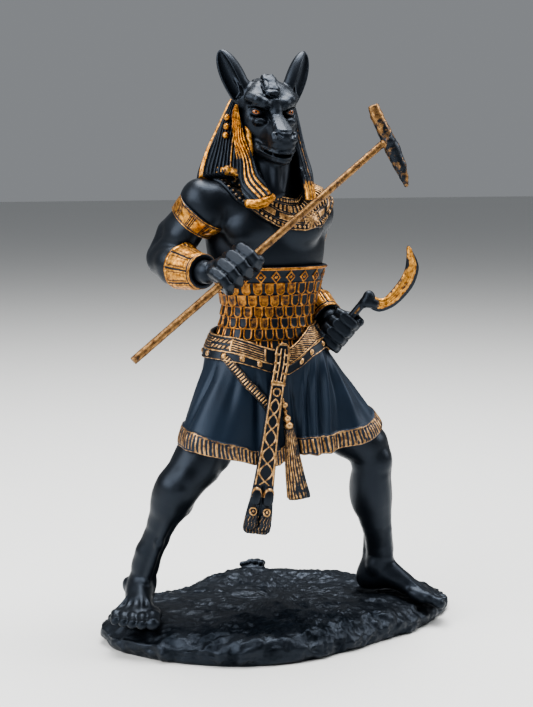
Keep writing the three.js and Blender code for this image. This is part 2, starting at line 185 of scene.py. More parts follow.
def skinOf(field, low, high, step, settle=2):
    # surface nets, then each point is settled onto the field
    grid, origin, counts = sampled(field, low, high, step)
    inside = grid < 0
    # a skin that reaches the end of its box is closed there
    for wall in (inside[0], inside[-1], inside[:, 0], inside[:, -1], inside[:, :, 0], inside[:, :, -1]):
        wall[:] = False
    views = [
        inside[dx : counts[0] - 1 + dx, dy : counts[1] - 1 + dy, dz : counts[2] - 1 + dz]
        for dx in (0, 1) for dy in (0, 1) for dz in (0, 1)
    ]
    cells = np.logical_or.reduce(views) & ~np.logical_and.reduce(views)
    at = np.argwhere(cells)
    number = -np.ones(cells.shape, np.int64)
    number[cells] = np.arange(len(at))
    corner = np.array([[dx, dy, dz] for dx in (0, 1) for dy in (0, 1) for dz in (0, 1)])
    values = np.stack([grid[tuple((at + c).T)] for c in corner], 1)
    filled = np.stack([inside[tuple((at + c).T)] for c in corner], 1)
    total = np.zeros((len(at), 3))
    hits = np.zeros(len(at))
    for i in range(8):
        for j in range(i + 1, 8):
            if np.abs(corner[i] - corner[j]).sum() != 1:
                continue
            a, b = values[:, i], values[:, j]
            crossed = filled[:, i] != filled[:, j]
            share = np.where(crossed & (a * b < 0), a / np.where(a == b, 1, a - b), 0.5)
            spot = corner[i] + share[:, None] * (corner[j] - corner[i])
            total += np.where(crossed[:, None], spot, 0)
            hits += crossed
    points = origin + (at + total / hits[:, None]) * step
    faces = []
    for axis in range(3):
        one, two = [(1, 2), (2, 0), (0, 1)][axis]
        a = inside[tuple(slice(0, -1) if i == axis else slice(1, -1) for i in range(3))]
        b = inside[tuple(slice(1, None) if i == axis else slice(1, -1) for i in range(3))]
        for first, flip in ((a & ~b, False), (b & ~a, True)):
            spot = np.argwhere(first)
            spot += np.array([0 if i == axis else 1 for i in range(3)])
            quad = []
            for da, db in ((-1, -1), (0, -1), (0, 0), (-1, 0)):
                move = np.zeros(3, int)
                move[one], move[two] = da, db
                quad.append(number[tuple((spot + move).T)])
            quad = np.stack(quad, 1)
            faces.append(quad[:, ::-1] if flip else quad)
    faces = np.concatenate(faces)
    onWall = ((at == 0) | (at == np.array(cells.shape) - 1)).any(1)[:, None]
    for _ in range(settle):
        points = np.where(onWall, points, settled(field, points, step))
    return points, faces


def slopeOf(field, points, reach):
    ways = np.array([[1, 1, 1], [1, -1, -1], [-1, 1, -1], [-1, -1, 1]], float)
    return sum(way * field(points + way * reach)[:, None] for way in ways) / (4 * reach)


def settled(field, points, step):
    slope = slopeOf(field, points, 0.12)
    move = field(points) / np.maximum(np.einsum("ij,ij->i", slope, slope), 0.05)
    return points - slope * np.clip(move, -0.6 * step, 0.6 * step)[:, None]


def landOn(field, start, goal, lift=0.0, rounds=28):
    # from each start, walks towards its goal until it meets the field's skin
    way = goal - start
    reach = length(way)
    way = way / reach[:, None]
    travelled = np.zeros(len(start))
    for _ in range(rounds):
        d = field(start + way * travelled[:, None]) - lift
        travelled = np.minimum(travelled + d * 0.9, reach)
    return start + way * travelled[:, None]


# Mesh helpers

def makeMesh(name, points, faces, coat, paint=0.0):
    # a coat is a material with its slot, and paint says how far the gold covers each point
    material, slot = coat
    mesh = bpy.data.meshes.new(name)
    points = np.asarray(points, float) * millimetre
    if isinstance(faces, np.ndarray):
        sides = faces.shape[1]
        mesh.vertices.add(len(points))
        mesh.vertices.foreach_set("co", points.astype(np.float32).ravel())
        mesh.loops.add(faces.size)
        mesh.loops.foreach_set("vertex_index", faces.astype(np.int32).ravel())
        mesh.polygons.add(len(faces))
        mesh.polygons.foreach_set("loop_start", np.arange(0, faces.size, sides, dtype=np.int32))
        mesh.update(calc_edges=True)
    else:
        mesh.from_pydata(points.tolist(), [], faces)
    mesh.validate()
    layer = mesh.attributes.new("gold", "FLOAT", "POINT")
    layer.data.foreach_set("value", np.clip(paint + np.zeros(len(points)), 0, 1).astype(np.float32))
    mesh.polygons.foreach_set("use_smooth", np.full(len(mesh.polygons), True))
    mesh.materials.append(material)
    piece = bpy.data.objects.new(name, mesh)
    bpy.context.scene.collection.objects.link(piece)
    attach(piece, "root")
    return piece


def skinPiece(name, field, low, high, step, coat, paint=None):
    # paint, where there is any, is worked out from the points
    points, faces = skinOf(field, low, high, step * coarse)
    return makeMesh(name, points, faces, coat, paint(points) if paint else 0.0)


def gridFaces(rows, columns):
    # quads over rows of points, the last column joined to the first
    r, c = np.meshgrid(np.arange(rows - 1), np.arange(columns), indexing="ij")
    r, c = r.ravel(), c.ravel()
    n = (c + 1) % columns
    return np.stack([r * columns + c, r * columns + n, (r + 1) * columns + n, (r + 1) * columns + c], 1)


def capFaces(row, columns, centre, turn):
    c = np.arange(columns)
    n = (c + 1) % columns
    face = np.stack([row * columns + c, row * columns + n, np.full(columns, centre)], 1)
    return face[:, ::-1] if turn else face


def signedVolume(points, faces):
    a, b, c = (points[faces[:, i]] for i in range(3))
    total = np.einsum("ij,ij->i", a, np.cross(b, c)).sum()
    if faces.shape[1] == 4:
        total += np.einsum("ij,ij->i", a, np.cross(c, points[faces[:, 3]])).sum()
    return total


def closedGrid(grid):
    # grid is rows of loops; both ends are closed with a fan, and the faces look outward
    rows, columns = grid.shape[:2]
    points = np.concatenate([grid.reshape(-1, 3), grid[:1].mean(1), grid[-1:].mean(1)])
    sides = gridFaces(rows, columns)
    caps = np.concatenate([capFaces(0, columns, rows * columns, True),
                           capFaces(rows - 1, columns, rows * columns + 1, False)])
    if signedVolume(points, sides) + signedVolume(points, caps) < 0:
        sides, caps = sides[:, ::-1], caps[:, ::-1]
    return points, sides.tolist() + caps.tolist()


def gridPiece(name, grid, coat, paint, ends=(0, 0)):
    points, faces = closedGrid(grid)
    return makeMesh(name, points, faces, coat, np.concatenate([paint.ravel(), ends]))


def unitRows(vectors):
    return vectors / np.maximum(np.linalg.norm(vectors, axis=-1, keepdims=True), 1e-9)


def outwardNormals(grid, centre, loop=True, level=False):
    # normals that look away from the centre, or from the upright line through it when level is set
    along = (np.roll(grid, -1, 1) - np.roll(grid, 1, 1)) / 2 if loop else np.gradient(grid, axis=1)
    n = unitRows(np.cross(along, np.gradient(grid, axis=0)))
    away = grid - np.array(centre)
    if level:
        away[..., 2] = 0
    return n * np.sign((n * away).sum(2, keepdims=True))


def calmed(grid, rounds):
    # evens each point out with its neighbours along the loop
    for _ in range(rounds):
        grid = (np.roll(grid, 1, 1) + grid + np.roll(grid, -1, 1)) / 3
    return grid


# Materials

finish = {
    "resinBlack": "#050608",
    "resinSheen": "#0c1015",
    "paintedSkyBlueGloss": "#c3d3ea",  # the gloss is tinted blue, a painted bluish reflection of sky light on the black
    "kiltBlack": "#0d131c",  # the cloth is painted bluer and lighter than the skin: partly its own blue-black, partly a painted bluish sheen of sky light
    "kiltSheen": "#182534",
    "goldDeep": "#715030",
    "goldBright": "#dbb07a",
    "warmDeep": "#744616",  # the brighter, yellower gold of the locks and arm bands
    "warmBright": "#e2a654",
    "bronzeDeep": "#70431d",
    "bronzeBright": "#c28844",
    "toolDeep": "#5c4128",
    "toolBright": "#ad8658",
    "rockBlack": "#060709",
    "rockSheen": "#12161b",
    "dustDeep": "#12161b",
    "dustBright": "#12161b",
}


def blankMaterial(name):
    material = bpy.data.materials.new(name)
    material.use_nodes = True
    material.node_tree.nodes.clear()
    return material, material.node_tree


def paintedResin(name, slot, ground="resin", metal="gold", darkRough=0.4, goldRough=0.38, grain=0.16,
                 brush=0.3):
    # Cold-cast resin, airbrushed satin and rubbed with metallic paint on the high relief.
    # The eye gets a dark body with a slow blue-grey drift, gold that catches on raised edges, and pores
    # and brush marks in the gloss. Drift is 14 mm wide, rubs are 2 mm and pores 0.7 mm, which is coarser
    # than real pores, so that they show.
    dark, sheen = srgb(finish[ground + "Black"]), srgb(finish[ground + "Sheen"])
    deep, bright = srgb(finish[metal + "Deep"]), srgb(finish[metal + "Bright"])
    material, tree = blankMaterial(name)
    place = putNode(tree, "ShaderNodeNewGeometry").outputs["Position"]
    drift = putNode(tree, "ShaderNodeTexNoise", {"Vector": place, "Scale": 70, "Detail": 3})
    pores = putNode(tree, "ShaderNodeTexNoise", {"Vector": place, "Scale": 1500, "Detail": 2})
    rubs = putNode(tree, "ShaderNodeTexNoise",
                   {"Vector": place, "Scale": 520, "Detail": 4, "Roughness": 0.65})
    body = putNode(tree, "ShaderNodeMix", {"Factor": drift.outputs["Fac"], "A": dark, "B": sheen},
                   data_type="RGBA")
    mottled = putNode(tree, "ShaderNodeMapRange",
                      {"Value": rubs.outputs["Fac"], "From Min": 0.35, "From Max": 0.65})
    gilding = putNode(tree, "ShaderNodeMix", {"Factor": mottled.outputs["Result"], "A": deep, "B": bright},
                      data_type="RGBA")
    # the rub wears thin in patches, so the black shows through the gold
    relief = putNode(tree, "ShaderNodeAttribute", attribute_name="gold").outputs["Fac"]
    worn = putNode(tree, "ShaderNodeMath", {0: rubs.outputs["Fac"], 1: brush, 2: -brush * 0.5},
                   operation="MULTIPLY_ADD")
    ragged = putNode(tree, "ShaderNodeMath", {0: relief, 1: worn.outputs["Value"]}, operation="ADD")
    cover = putNode(tree, "ShaderNodeMapRange",
                    {"Value": ragged.outputs["Value"], "From Min": 0.34, "From Max": 0.66})
    cover = cover.outputs["Result"]
    colour = putNode(tree, "ShaderNodeMix",
                     {"Factor": cover, "A": body.outputs["Result"], "B": gilding.outputs["Result"]},
                     data_type="RGBA")
    dullness = putNode(tree, "ShaderNodeMapRange",
                       {"Value": drift.outputs["Fac"], "To Min": darkRough - 0.07,
                        "To Max": darkRough + 0.1})
    rough = putNode(tree, "ShaderNodeMix",
                    {"Factor": cover, "A": dullness.outputs["Result"], "B": goldRough})
    metallic = putNode(tree, "ShaderNodeMath", {0: cover, 1: 0.85}, operation="MULTIPLY")
    skin = putNode(tree, "ShaderNodeBump",
                   {"Strength": grain, "Distance": 0.0002, "Height": pores.outputs["Fac"]})
    shader = putNode(tree, "ShaderNodeBsdfPrincipled", {
        "Base Color": colour.outputs["Result"],
        "Roughness": rough.outputs["Result"],
        "Metallic": metallic.outputs["Value"],
        "Normal": skin.outputs["Normal"],
        "IOR": 1.5,
        # the blue specular tint is a painted reflection of bluish sky light
        "Specular Tint": srgb(finish["paintedSkyBlueGloss"]),
    })
    putNode(tree, "ShaderNodeOutputMaterial", {"Surface": shader.outputs["BSDF"]})
    return material, slot


satinResin = paintedResin("coldCastResinSatinBlackAirbrushed", "black_resin", metal="warm")
warmRubbed = paintedResin("coldCastResinWarmGoldRubbedOnLocks", "gold_paint", metal="warm", brush=0.8)
kiltResin = paintedResin("coldCastResinBlueBlackAirbrushed", "black_resin", "kilt", darkRough=0.44)
goldRubbed = paintedResin("coldCastResinGoldRubbedOnRelief", "gold_paint", brush=0.8)
bronzeRubbed = paintedResin("coldCastResinBronzeGoldRubbedOnScales", "gold_paint", metal="bronze",
                            brush=0.8)
toolPaint = paintedResin("castRodBrownGoldDryBrushed", "tool_gold", metal="tool", goldRough=0.42, brush=0.9)
rockPaint = paintedResin("coldCastRockSatinBlackPainted", "rock", "rock", "dust", grain=0.6)
bladeGold = warmRubbed[0], "tool_gold"  # the blade is rubbed with the same paint as the locks
print("paints mixed")


# Head: an animal head with a heavy muzzle, angry brows, tall hollow ears and a rough crest

headSettings = {
    "place": (-11.0, -13.0, 252.0),
    "turn": -1.0,  # degrees to his right
    "box": ((-36, -43, 203), (14, 7, 283)),
    "step": 0.5,
    "mouthDepth": 1.5,
    "wallOfEar": 1.1,
}
headTurn = math.radians(headSettings["turn"])
headSide = np.array([math.cos(headTurn), -math.sin(headTurn), 0.0])
headFront = np.array([-math.sin(headTurn), -math.cos(headTurn), 0.0])
headAxes = np.stack([headSide, headFront, np.array([0.0, 0.0, 1.0])], 1)


def inHead(p):
    return (p - np.array(headSettings["place"])) @ headAxes


def fromHead(q):
    return q @ headAxes.T + np.array(headSettings["place"])


eyeCentre = np.array([7.5, 4.9, -0.1])
eyeLook = unit((0.40, 0.91, -0.06))
eyeAcross = unit(np.cross(eyeLook, (0, 0, 1)))
eyeUp = unit(np.cross(eyeAcross, eyeLook))


def lidLine(rise, radius):
    # a lid follows the eyeball from the inner corner to the outer one
    stations = []
    for k in range(7):
        share = k / 6
        turn = -1.0 + 2.05 * share
        lift = rise * math.sin(math.pi * (0.06 + 0.88 * share)) + 0.16 * turn
        way = eyeLook * math.cos(turn) * math.cos(lift) + eyeAcross * math.sin(turn) * math.cos(lift)
        way = way + eyeUp * math.sin(lift)
        stations.append((*(eyeCentre + 3.05 * way), radius))
    return stations


def earField(m):
    root, tip = np.array([11.8, -3.5, 6.4]), np.array([22.0, -7.0, 28.3])
    run = tip - root
    tall = np.linalg.norm(run)
    along = run / tall
    facing = np.array([0.36, 0.93, 0.0])
    facing = unit(facing - along * (facing @ along))
    wide = -np.cross(along, facing)
    t = (m - root) @ along / tall
    x = (m - root) @ wide + 0.5
    y = (m - root) @ facing + 1.6 * np.clip(t, 0, 1) ** 2
    s = np.clip(t, -0.2, 1)
    half = 6.5 * np.clip(1 - s, 0, 1.2) ** 0.55 * (0.76 + 1.0 * s)
    outer = (np.sqrt(x**2 + (y / 0.68) ** 2 + 1e-6) - half) * 0.68
    # the hollow opens forward and outward, so a broad smooth band stays between it and the skull
    hollow = (half - headSettings["wallOfEar"]) * 0.72
    inner = (np.sqrt((x - 0.24 * half) ** 2 + ((y - 0.46 * half) / 0.86) ** 2 + 1e-6) - hollow) * 0.8
    inner = np.maximum(inner, (0.02 - t) * tall * 0.5)
    end = np.maximum((t - 1.0) * tall, (-0.2 - t) * tall)
    ear = np.maximum(carve(outer, inner, 0.7), end)
    # a thin fold rises along the bottom of the hollow and curls over the lobe
    fold = [root + along * tall * a + wide * b + facing * c
            for a, b, c in ((0.46, -0.8, -0.9), (0.34, -0.9, 0.2), (0.22, -1.0, 1.6), (0.09, 0.0, 3.2),
                            (0.05, 2.0, 3.5))]
    return melt(ear, strand(m, [(*f, r) for f, r in zip(fold, (0.15, 0.45, 0.6, 0.65, 0.5))], 0.5), 0.9)


def slab(p, centre, radii):
    # a block with well rounded corners
    w = np.abs((p - np.array(centre)) / np.array(radii)) ** 3.4
    return (w.sum(1) ** (1 / 3.4) - 1) * min(radii)


def crestField(q):
    # slabs of coarse mane: broad flat tongues laid down the middle of the brow, each lapping the next
    tongues = (((0.0, -8.6, 12.8), (4.2, 4.6, 1.6), -26, 0), ((-1.0, -2.6, 13.7), (5.4, 4.4, 1.4), 10, 4),
               ((-1.0, 5.6, 11.9), (3.5, 6.7, 1.5), 46, 4), ((4.2, 1.6, 12.4), (3.0, 3.6, 1.0), 22, -14),
               ((-5.6, 1.4, 12.0), (2.6, 3.6, 1.1), 20, 16))
    d = None
    for centre, radii, pitch, turn in tongues:
        piece = slab(tilted(tilted(q, centre, pitch, 1), centre, -turn, 0), centre, radii)
        d = piece if d is None else melt(d, piece, 0.2)
    # cracks between tufts, and a grain along them
    crack = bump(softNoise(q * np.array([1.0, 0.6, 0.6]), 3.6, 23), 0.02, 0.06)
    return d + 0.36 * crack - 0.2 * softNoise(q, 1.5, 12) - 0.2 * softNoise(q, 4.0, 15)


def tilted(q, centre, degrees, axis):
    # points turned about a centre, from the given axis towards up
    a = math.radians(degrees)
    level, up = q[:, axis] - centre[axis], q[:, 2] - centre[2]
    q = q.copy()
    q[:, axis] = centre[axis] + level * math.cos(a) - up * math.sin(a)
    q[:, 2] = centre[2] + level * math.sin(a) + up * math.cos(a)
    return q


def headField(p):
    # m folds the head's two halves on to one
    q = inHead(p)
    m = q.copy()
    m[:, 0] = np.abs(m[:, 0])
    side, front, up = m[:, 0], q[:, 1], q[:, 2]
    d = lump(q, (0, -3.5, 3.0), (12.6, 12.6, 12.4))
    # cheeks, then two broad smooth planes of forehead
    d = melt(d, lump(m, (8.4, 0.6, -4.8), (5.0, 7.0, 7.6)), 4)
    d = melt(d, lump(m, (5.0, 0.0, 7.2), (5.8, 6.0, 4.8)), 3.5)
    d = melt(d, taper(q * (0.95, 1, 1), (0, 5, -9.2), (0, 19.8, -14.2), 7.7, 5.0), 4)
    d = melt(d, lump(m, (3.4, 17.4, -15.2), (2.5, 6.2, 4.0)), 1.6)
    # the bridge is a long roof with firm edges, wrinkled on its flank, and ends in the nose
    slope = unit((0, 0.526, 0.851))
    high = (q - np.array([0, 8.0, 1.7])) @ slope + 0.13 * side
    half = np.interp(front, [5, 8, 12, 18, 25], [2.6, 2.7, 2.9, 3.3, 3.9])
    edge = (side - half) * 0.88 + high * 0.42
    wrinkle = np.sin((front - 9) * 2.7) * smooth(front, 9.5, 11) * (1 - smooth(front, 18.5, 21))
    roof = -melt(-high, -edge - 0.28 * wrinkle, 0.45)
    roof = -melt(-roof, 25.2 - front, 0.8)
    roof = np.maximum(np.maximum(roof, 5.0 - front), -2.8 - high)
    d = melt(d, roof, 0.9)
    # upper lip closes on the lower one
    lip = strand(m, [(7.0, 12.6, -16.2, 1.2), (4.8, 18.4, -17.6, 1.4), (2.6, 21.8, -18.6, 1.5),
                     (0, 22.8, -18.8, 1.6)], 0.8)
    d = melt(d, lip, 1.4)
    # lower jaw with its sides and chin
    jaw = taper(q, (0, 7, -18.2), (0, 18.8, -21.8), 5.2, 2.5)
    jaw = melt(jaw, taper(m, (8.2, 0.5, -14.6), (3.0, 17.6, -21.2), 4.4, 2.1), 2)
    jaw = melt(jaw, lump(q, (0, 19.8, -22.3), (3.6, 2.8, 2.0)), 1.2)
    d = melt(d, jaw, 0.8)
    # deep sockets under heavy brows that slant down to the bridge, with cheekbones below
    d = carve(d, lump(m, (7.6, 8.8, -0.6), (4.7, 4.2, 3.4)), 1.0)
    d = carve(d, taper(m, (4.6, 10.6, -1.6), (5.2, 17.5, -8.8), 1.5, 1.1), 1.6)
    brow = strand(m, [(2.2, 9.4, 1.9, 1.7), (4.8, 9.6, 3.5, 2.4), (7.9, 8.0, 5.2, 2.6),
                      (11.0, 3.8, 6.6, 2.1)], 0.8)
    brow = melt(brow, strand(m, [(3.8, 5.6, 6.2, 2.6), (7.6, 3.9, 7.2, 2.8)], 1.0), 3.0)
    d = melt(d, brow, 1.3)
    d = melt(d, strand(q, [(0.2, 7.0, 7.0, 2.4), (0.3, 8.9, 4.4, 2.4), (0.3, 10.5, 0.4, 2.2)], 1.0), 2.2)
    lidFold = strand(m, [(4.2, 10.2, 0.7, 0.5), (6.8, 9.9, 2.3, 0.7), (9.6, 7.6, 3.0, 0.7),
                         (11.4, 4.8, 2.4, 0.5)], 0.4)
    d = melt(d, lidFold, 0.5)
    d = melt(d, lump(m, (7.3, 8.9, -4.6), (3.1, 2.4, 2.0)), 1.6)
    d = melt(d, taper(m, (6.2, 10.2, -5.0), (10.2, 5.8, -3.5), 0.8, 1.2), 1.6)
    d = melt(d, lump(m, eyeCentre, (2.6, 2.6, 2.6)), 0.4)
    lids = np.minimum(strand(m, lidLine(0.50, 0.5), 0.3), strand(m, lidLine(-0.46, 0.42), 0.3))
    d = melt(d, lids, 0.4)
    # broad nose pad with flared wings round comma nostrils
    nose = lump(q, (0, 23.0, -11.8), (3.5, 2.4, 2.6))
    nose = melt(nose, lump(m, (3.0, 21.2, -11.8), (2.0, 3.4, 2.6)), 0.7)
    nose = melt(nose, strand(m, [(4.4, 21.4, -9.2, 0.8), (5.1, 21.6, -10.8, 1.3), (4.7, 22.4, -12.8, 1.5),
                                 (2.9, 23.7, -13.6, 1.2)], 0.5), 0.5)
    d = melt(d, nose, 0.8)
    # the snarl folds a deep crease between the end of the bridge and the nose
    crease = strand(m, [(5.2, 20.6, -9.0, 0.4), (3.6, 24.6, -9.0, 0.8), (0, 26.0, -9.2, 1.1)], 0.5)
    d = carve(d, crease, 0.4)
    nostril = strand(m, [(1.7, 25.9, -11.9, 0.7), (2.8, 25.2, -11.3, 1.1), (3.9, 23.8, -10.4, 1.0)], 0.3)
    d = carve(d, nostril, 0.3)
    d = carve(d, taper(q, (0, 25.9, -12.2), (0, 24.6, -18.6), 0.35, 0.45), 0.6)
    # the mouth line drops from the corner to the front, with lips above and below it
    mouth = np.interp(front, [8.5, 11, 13, 17, 22, 26], [-15.8, -16.5, -17.2, -18.7, -20.3, -20.8])
    off = up - mouth
    there = smooth(front, 9.0, 11.5)
    gape = 0.3 + 0.26 * smooth(front, 11, 16)
    d = d + headSettings["mouthDepth"] * np.exp(-((off - 0.1) / gape) ** 2) * there
    d = d - (0.35 * bump(off, 1.5, 0.6) + 0.85 * bump(off, -0.95, 0.36)) * there
    d = d + 0.45 * bump(off, 2.6, 0.7) * there * smooth(front, 10, 13)
    # folds round the corner of the mouth
    for centre, radius in (((8.9, 10.2, -15.8), 1.2), ((9.0, 8.4, -14.0), 1.0), ((9.0, 8.8, -17.8), 1.0)):
        d = d - 0.6 * bump(length(m - np.array(centre)), 0, radius)
    fangs = np.minimum(taper(m, (4.4, 18.9, -18.2), (4.3, 19.6, -20.4), 0.75, 0.25),
                       taper(m, (7.4, 13.4, -16.4), (7.3, 13.9, -18.0), 0.6, 0.25))
    d = melt(d, fangs, 0.3)
    # cheek hollows and whisker rows
    d = d + 1.0 * bump(length(m - np.array([8.0, 12.4, -10.6])), 0, 3.4)
    rows = np.sin(front * 2.6) * np.sin(off * 2.6)
    d = d - 0.14 * np.clip(rows, 0, 1) * bump(off, 3.2, 1.8) * smooth(front, 15, 18)
    d = melt(d, crestField(q), 0.3)
    # a deep crack runs down one side of the longest tongue and under its end
    d = carve(d, strand(q, [(-4.9, 3.4, 13.2, 0.4), (-4.7, 5.6, 11.2, 0.8), (-4.1, 7.8, 8.9, 0.9),
                            (-2.6, 9.9, 6.6, 0.9), (1.0, 10.3, 6.2, 0.7)], 0.4), 0.3)
    # throat with its two cords
    d = melt(d, taper(q, (0, 1, -52), (0, 0.5, -10), 11.4, 9.2), 2.5)
    d = melt(d, taper(m, (8.2, 1.5, -18), (2.6, 10.8, -37), 2.4, 1.9), 2.0)
    d = melt(d, taper(q, (0, 10.2, -25), (0, 11.2, -38), 1.6, 1.8), 2.0)
    return melt(d, earField(m), 1.6)


eyeSettings = {"radius": 2.9, "columns": 40, "rows": 26, "iris": "#a85c12", "rim": "#120803",
               "pupil": "#050302"}


def amberPaint():
    # Glossy amber enamel with a dark pupil and rim, which gives the stare its spark.
    material, tree = blankMaterial("amberEnamelGlossPainted")
    ringed = putNode(tree, "ShaderNodeAttribute", attribute_name="gold").outputs["Fac"]
    ramp = putNode(tree, "ShaderNodeValToRGB", {"Fac": ringed})
    ramp.color_ramp.elements[0].position = 0.16
    ramp.color_ramp.elements[0].color = srgb(eyeSettings["pupil"])
    ramp.color_ramp.elements[1].position = 0.3
    ramp.color_ramp.elements[1].color = srgb(eyeSettings["iris"])
    rim = ramp.color_ramp.elements.new(0.8)
    rim.color = srgb(eyeSettings["rim"])
    shader = putNode(tree, "ShaderNodeBsdfPrincipled",
                     {"Base Color": ramp.outputs["Color"], "Roughness": 0.16, "IOR": 1.5,
                      "Coat Weight": 0.6})
    putNode(tree, "ShaderNodeOutputMaterial", {"Surface": shader.outputs["BSDF"]})
    return material, "amber_eye"


def makeEyes():
    enamel = amberPaint()
    turn, rise = np.meshgrid(turns(eyeSettings["columns"]),
                             np.linspace(0.02, np.pi * 0.62, eyeSettings["rows"]))
    for side, name in ((-1, "eyeRight"), (1, "eyeLeft")):
        look = eyeLook * np.array([side, 1, 1])
        across = unit(np.cross(look, (0, 0, 1)))
        lift = np.cross(across, look)
        way = (look * np.cos(rise)[..., None] + across * (np.sin(rise) * np.cos(turn))[..., None]
               + lift * (np.sin(rise) * np.sin(turn))[..., None])
        grid = eyeCentre * np.array([side, 1, 1]) + way * eyeSettings["radius"]
        # dark in the middle, where the pupil is, and dark again at the rim
        gridPiece(name, fromHead(grid), enamel, rise / 0.95, ends=(0, 1))


head = skinPiece("animalHead", headField, *headSettings["box"], headSettings["step"], satinResin)
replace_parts(head, "figure")
makeEyes()
print("head done")


# Waist, hips and kilt fields that the dress is laid on

waistRows = {
    # z height, x middle, w half width, y middle, d half depth
    "z": (130, 137, 145, 154, 161.5, 168, 173.3, 180, 186),
    "x": (-10, -10.4, -11.0, -10.0, -8.8, -8.9, -9.1, -9.3, -9.3),
    "w": (27.0, 24.9, 22.4, 21.2, 21.5, 23.3, 25.4, 27.6, 28.4),
    "y": (-6.5, -6.5, -6.5, -6.5, -6.5, -6.8, -7.0, -7.2, -7.2),
    "d": (20.5, 18.8, 16.8, 15.8, 15.8, 16.4, 17.0, 17.8, 18.2),
}


def corsetField(p):
    x, w, y, d = (np.interp(p[:, 2], waistRows["z"], waistRows[k]) for k in ("x", "w", "y", "d"))
    share = (np.abs((p[:, 0] - x) / w) ** 2.25 + np.abs((p[:, 1] - y) / d) ** 2.25) ** (1 / 2.25)
    return (share - 1) * d


def kiltField(p):
    d = lump(p, (-10, -6.0, 137), (28.0, 20.0, 26))
    thighs = [
        ((-21, -7.5, 134), (-38.6, -16.0, 97), 17.2, 16.8),
        ((-12, -9, 134), (-18, -17.0, 92), 17.0, 16.5),
        ((-6, -8.5, 134), (7, -15.0, 94), 17.0, 17.0),
        ((3.0, -7, 133), (29.5, -13.0, 95), 16.4, 17.0),
        ((-10, -2, 134), (-5, 0, 95), 19.0, 22.0),
    ]
    for start, end, low, high in thighs:
        d = melt(d, taper(p, start, end, low, high), 8)
    return d


# Body: chest, shoulders and arms as one skin down to the belt, and the two fists

bodySettings = {
    "box": ((-68, -41, 120), (29, 34, 232)),
    "step": 1.05,
    "handStep": 0.58,
    "chestMuscles": ((-20.5, -16.5, 198.5), (1.5, -16.5, 198.5)),
}
rightShoulder, rightWrist = (-40.5, -8.5, 207.5), (-46.5, -31.0, 179.5)
leftShoulder, leftWrist = (12.5, -6.5, 204.5), (21.3, -7.4, 153.7)


def chestField(p):
    d = lump(p, (-9.5, -7.5, 188), (26.5, 15.5, 28))
    for centre in bodySettings["chestMuscles"]:
        d = melt(d, lump(p, centre, (13.2, 9.2, 10.2)), 2.5)
    for x, hand in ((-33, 1), (14, -1)):
        d = melt(d, taper(p, (x, -3, 201), (x + 6 * hand, -4, 172), 7.2, 8.2), 6)
    d = melt(d, strand(p, [(-9.5, -2, 226, 7), (-23, -5, 219, 6), (-37, -7, 212, 6.5)], 3), 5)
    d = melt(d, strand(p, [(-9.5, -2, 226, 7), (3, -4, 217, 6), (13, -6, 209.5, 6.5)], 3), 5)
    d = melt(d, lump(p, (-9.5, 2, 197), (25, 10.5, 20)), 6)
    # narrow waist that stays inside the corset
    d = melt(d, taper(p * (0.72, 1, 1), (-7.2, -6.5, 166), (-7.4, -6.5, 136), 13.6, 13.8), 6)
    # the spine is a long hollow between two cords of muscle
    d = d + 1.2 * bump(p[:, 0], -9.5, 2.2) * smooth(p[:, 1], 2, 8) * (1 - smooth(p[:, 2], 205, 215))
    d = melt(d, taper(p, (-16, 8, 200), (-16.5, 5.0, 160), 5.2, 5.2), 3)
    d = melt(d, taper(p, (-3, 8, 200), (-4, 5.0, 160), 5.2, 5.2), 3)
    # below the top of the corset the body stays inside it
    return np.maximum(d, corsetField(p) + 0.7 - 9 * smooth(p[:, 2], 179.0, 184.0))


def rightArmField(p):
    upper = taper(p, rightShoulder, (-51.5, -0.5, 198), 9.4, 7.2)
    deltoid = melt(lump(p, (-43.0, -8.5, 210.5), (9.6, 11.0, 11.0)), upper, 3)
    deltoid = melt(deltoid, lump(p, (-39.5, -14.5, 206), (7.4, 6.5, 9.0)), 3)
    biceps = strand(p, [(-43, -9.5, 205, 7.0), (-50.4, -4.6, 194.5, 7.9), (-56.2, 1.5, 187, 6.6)], 2)
    triceps = strand(p, [(-45, -2, 207, 6.5), (-53.4, 5.2, 195.5, 6.6), (-59.3, 8.6, 185.5, 5.0)], 2)
    d = melt(deltoid, melt(biceps, triceps, 1.2), 2.2)
    d = melt(d, lump(p, (-60.2, 7.4, 183.2), (4.7, 4.9, 4.6)), 2)
    fore = strand(p, [(-57.6, 3.5, 183.5, 7.3), (-55.6, -6, 182.0, 8.0), (-51.8, -17, 180.6, 6.9),
                      (*rightWrist, 5.3)], 3)
    fore = melt(fore, strand(p, [(-60, 4, 181, 5.0), (-57.2, -8, 177.4, 4.9), (-50, -24, 176.6, 3.4)], 2),
                1.5)
    return melt(d, fore, 2.2)


def leftArmField(p):
    upper = taper(p, leftShoulder, (13.6, 6, 192), 9.2, 7.2)
    deltoid = melt(lump(p, (13.5, -6.5, 204.5), (9.6, 10.6, 10.4)), upper, 3)
    biceps = strand(p, [(13, -2, 200, 6.8), (14.5, 9, 185, 7.2), (14.6, 17, 175.5, 6.0)], 2)
    triceps = strand(p, [(13, 4, 203, 6.6), (13.2, 17, 187, 6.8), (13.6, 26, 173.5, 4.8)], 2)
    d = melt(deltoid, melt(biceps, triceps, 1.2), 2)
    d = melt(d, lump(p, (14.0, 26.5, 169.0), (4.6, 4.8, 4.6)), 2)
    fore = strand(p, [(14.4, 21, 169.5, 7.0), (16.2, 12, 165.5, 7.4), (18.6, 3, 160.5, 6.3),
                      (*leftWrist, 5.2)], 3)
    fore = melt(fore, strand(p, [(14, 22, 166.5, 4.8), (16.2, 9, 160.5, 4.6), (19.5, -2, 154.5, 3.6)], 2),
                1.5)
    return melt(d, fore, 2.2)


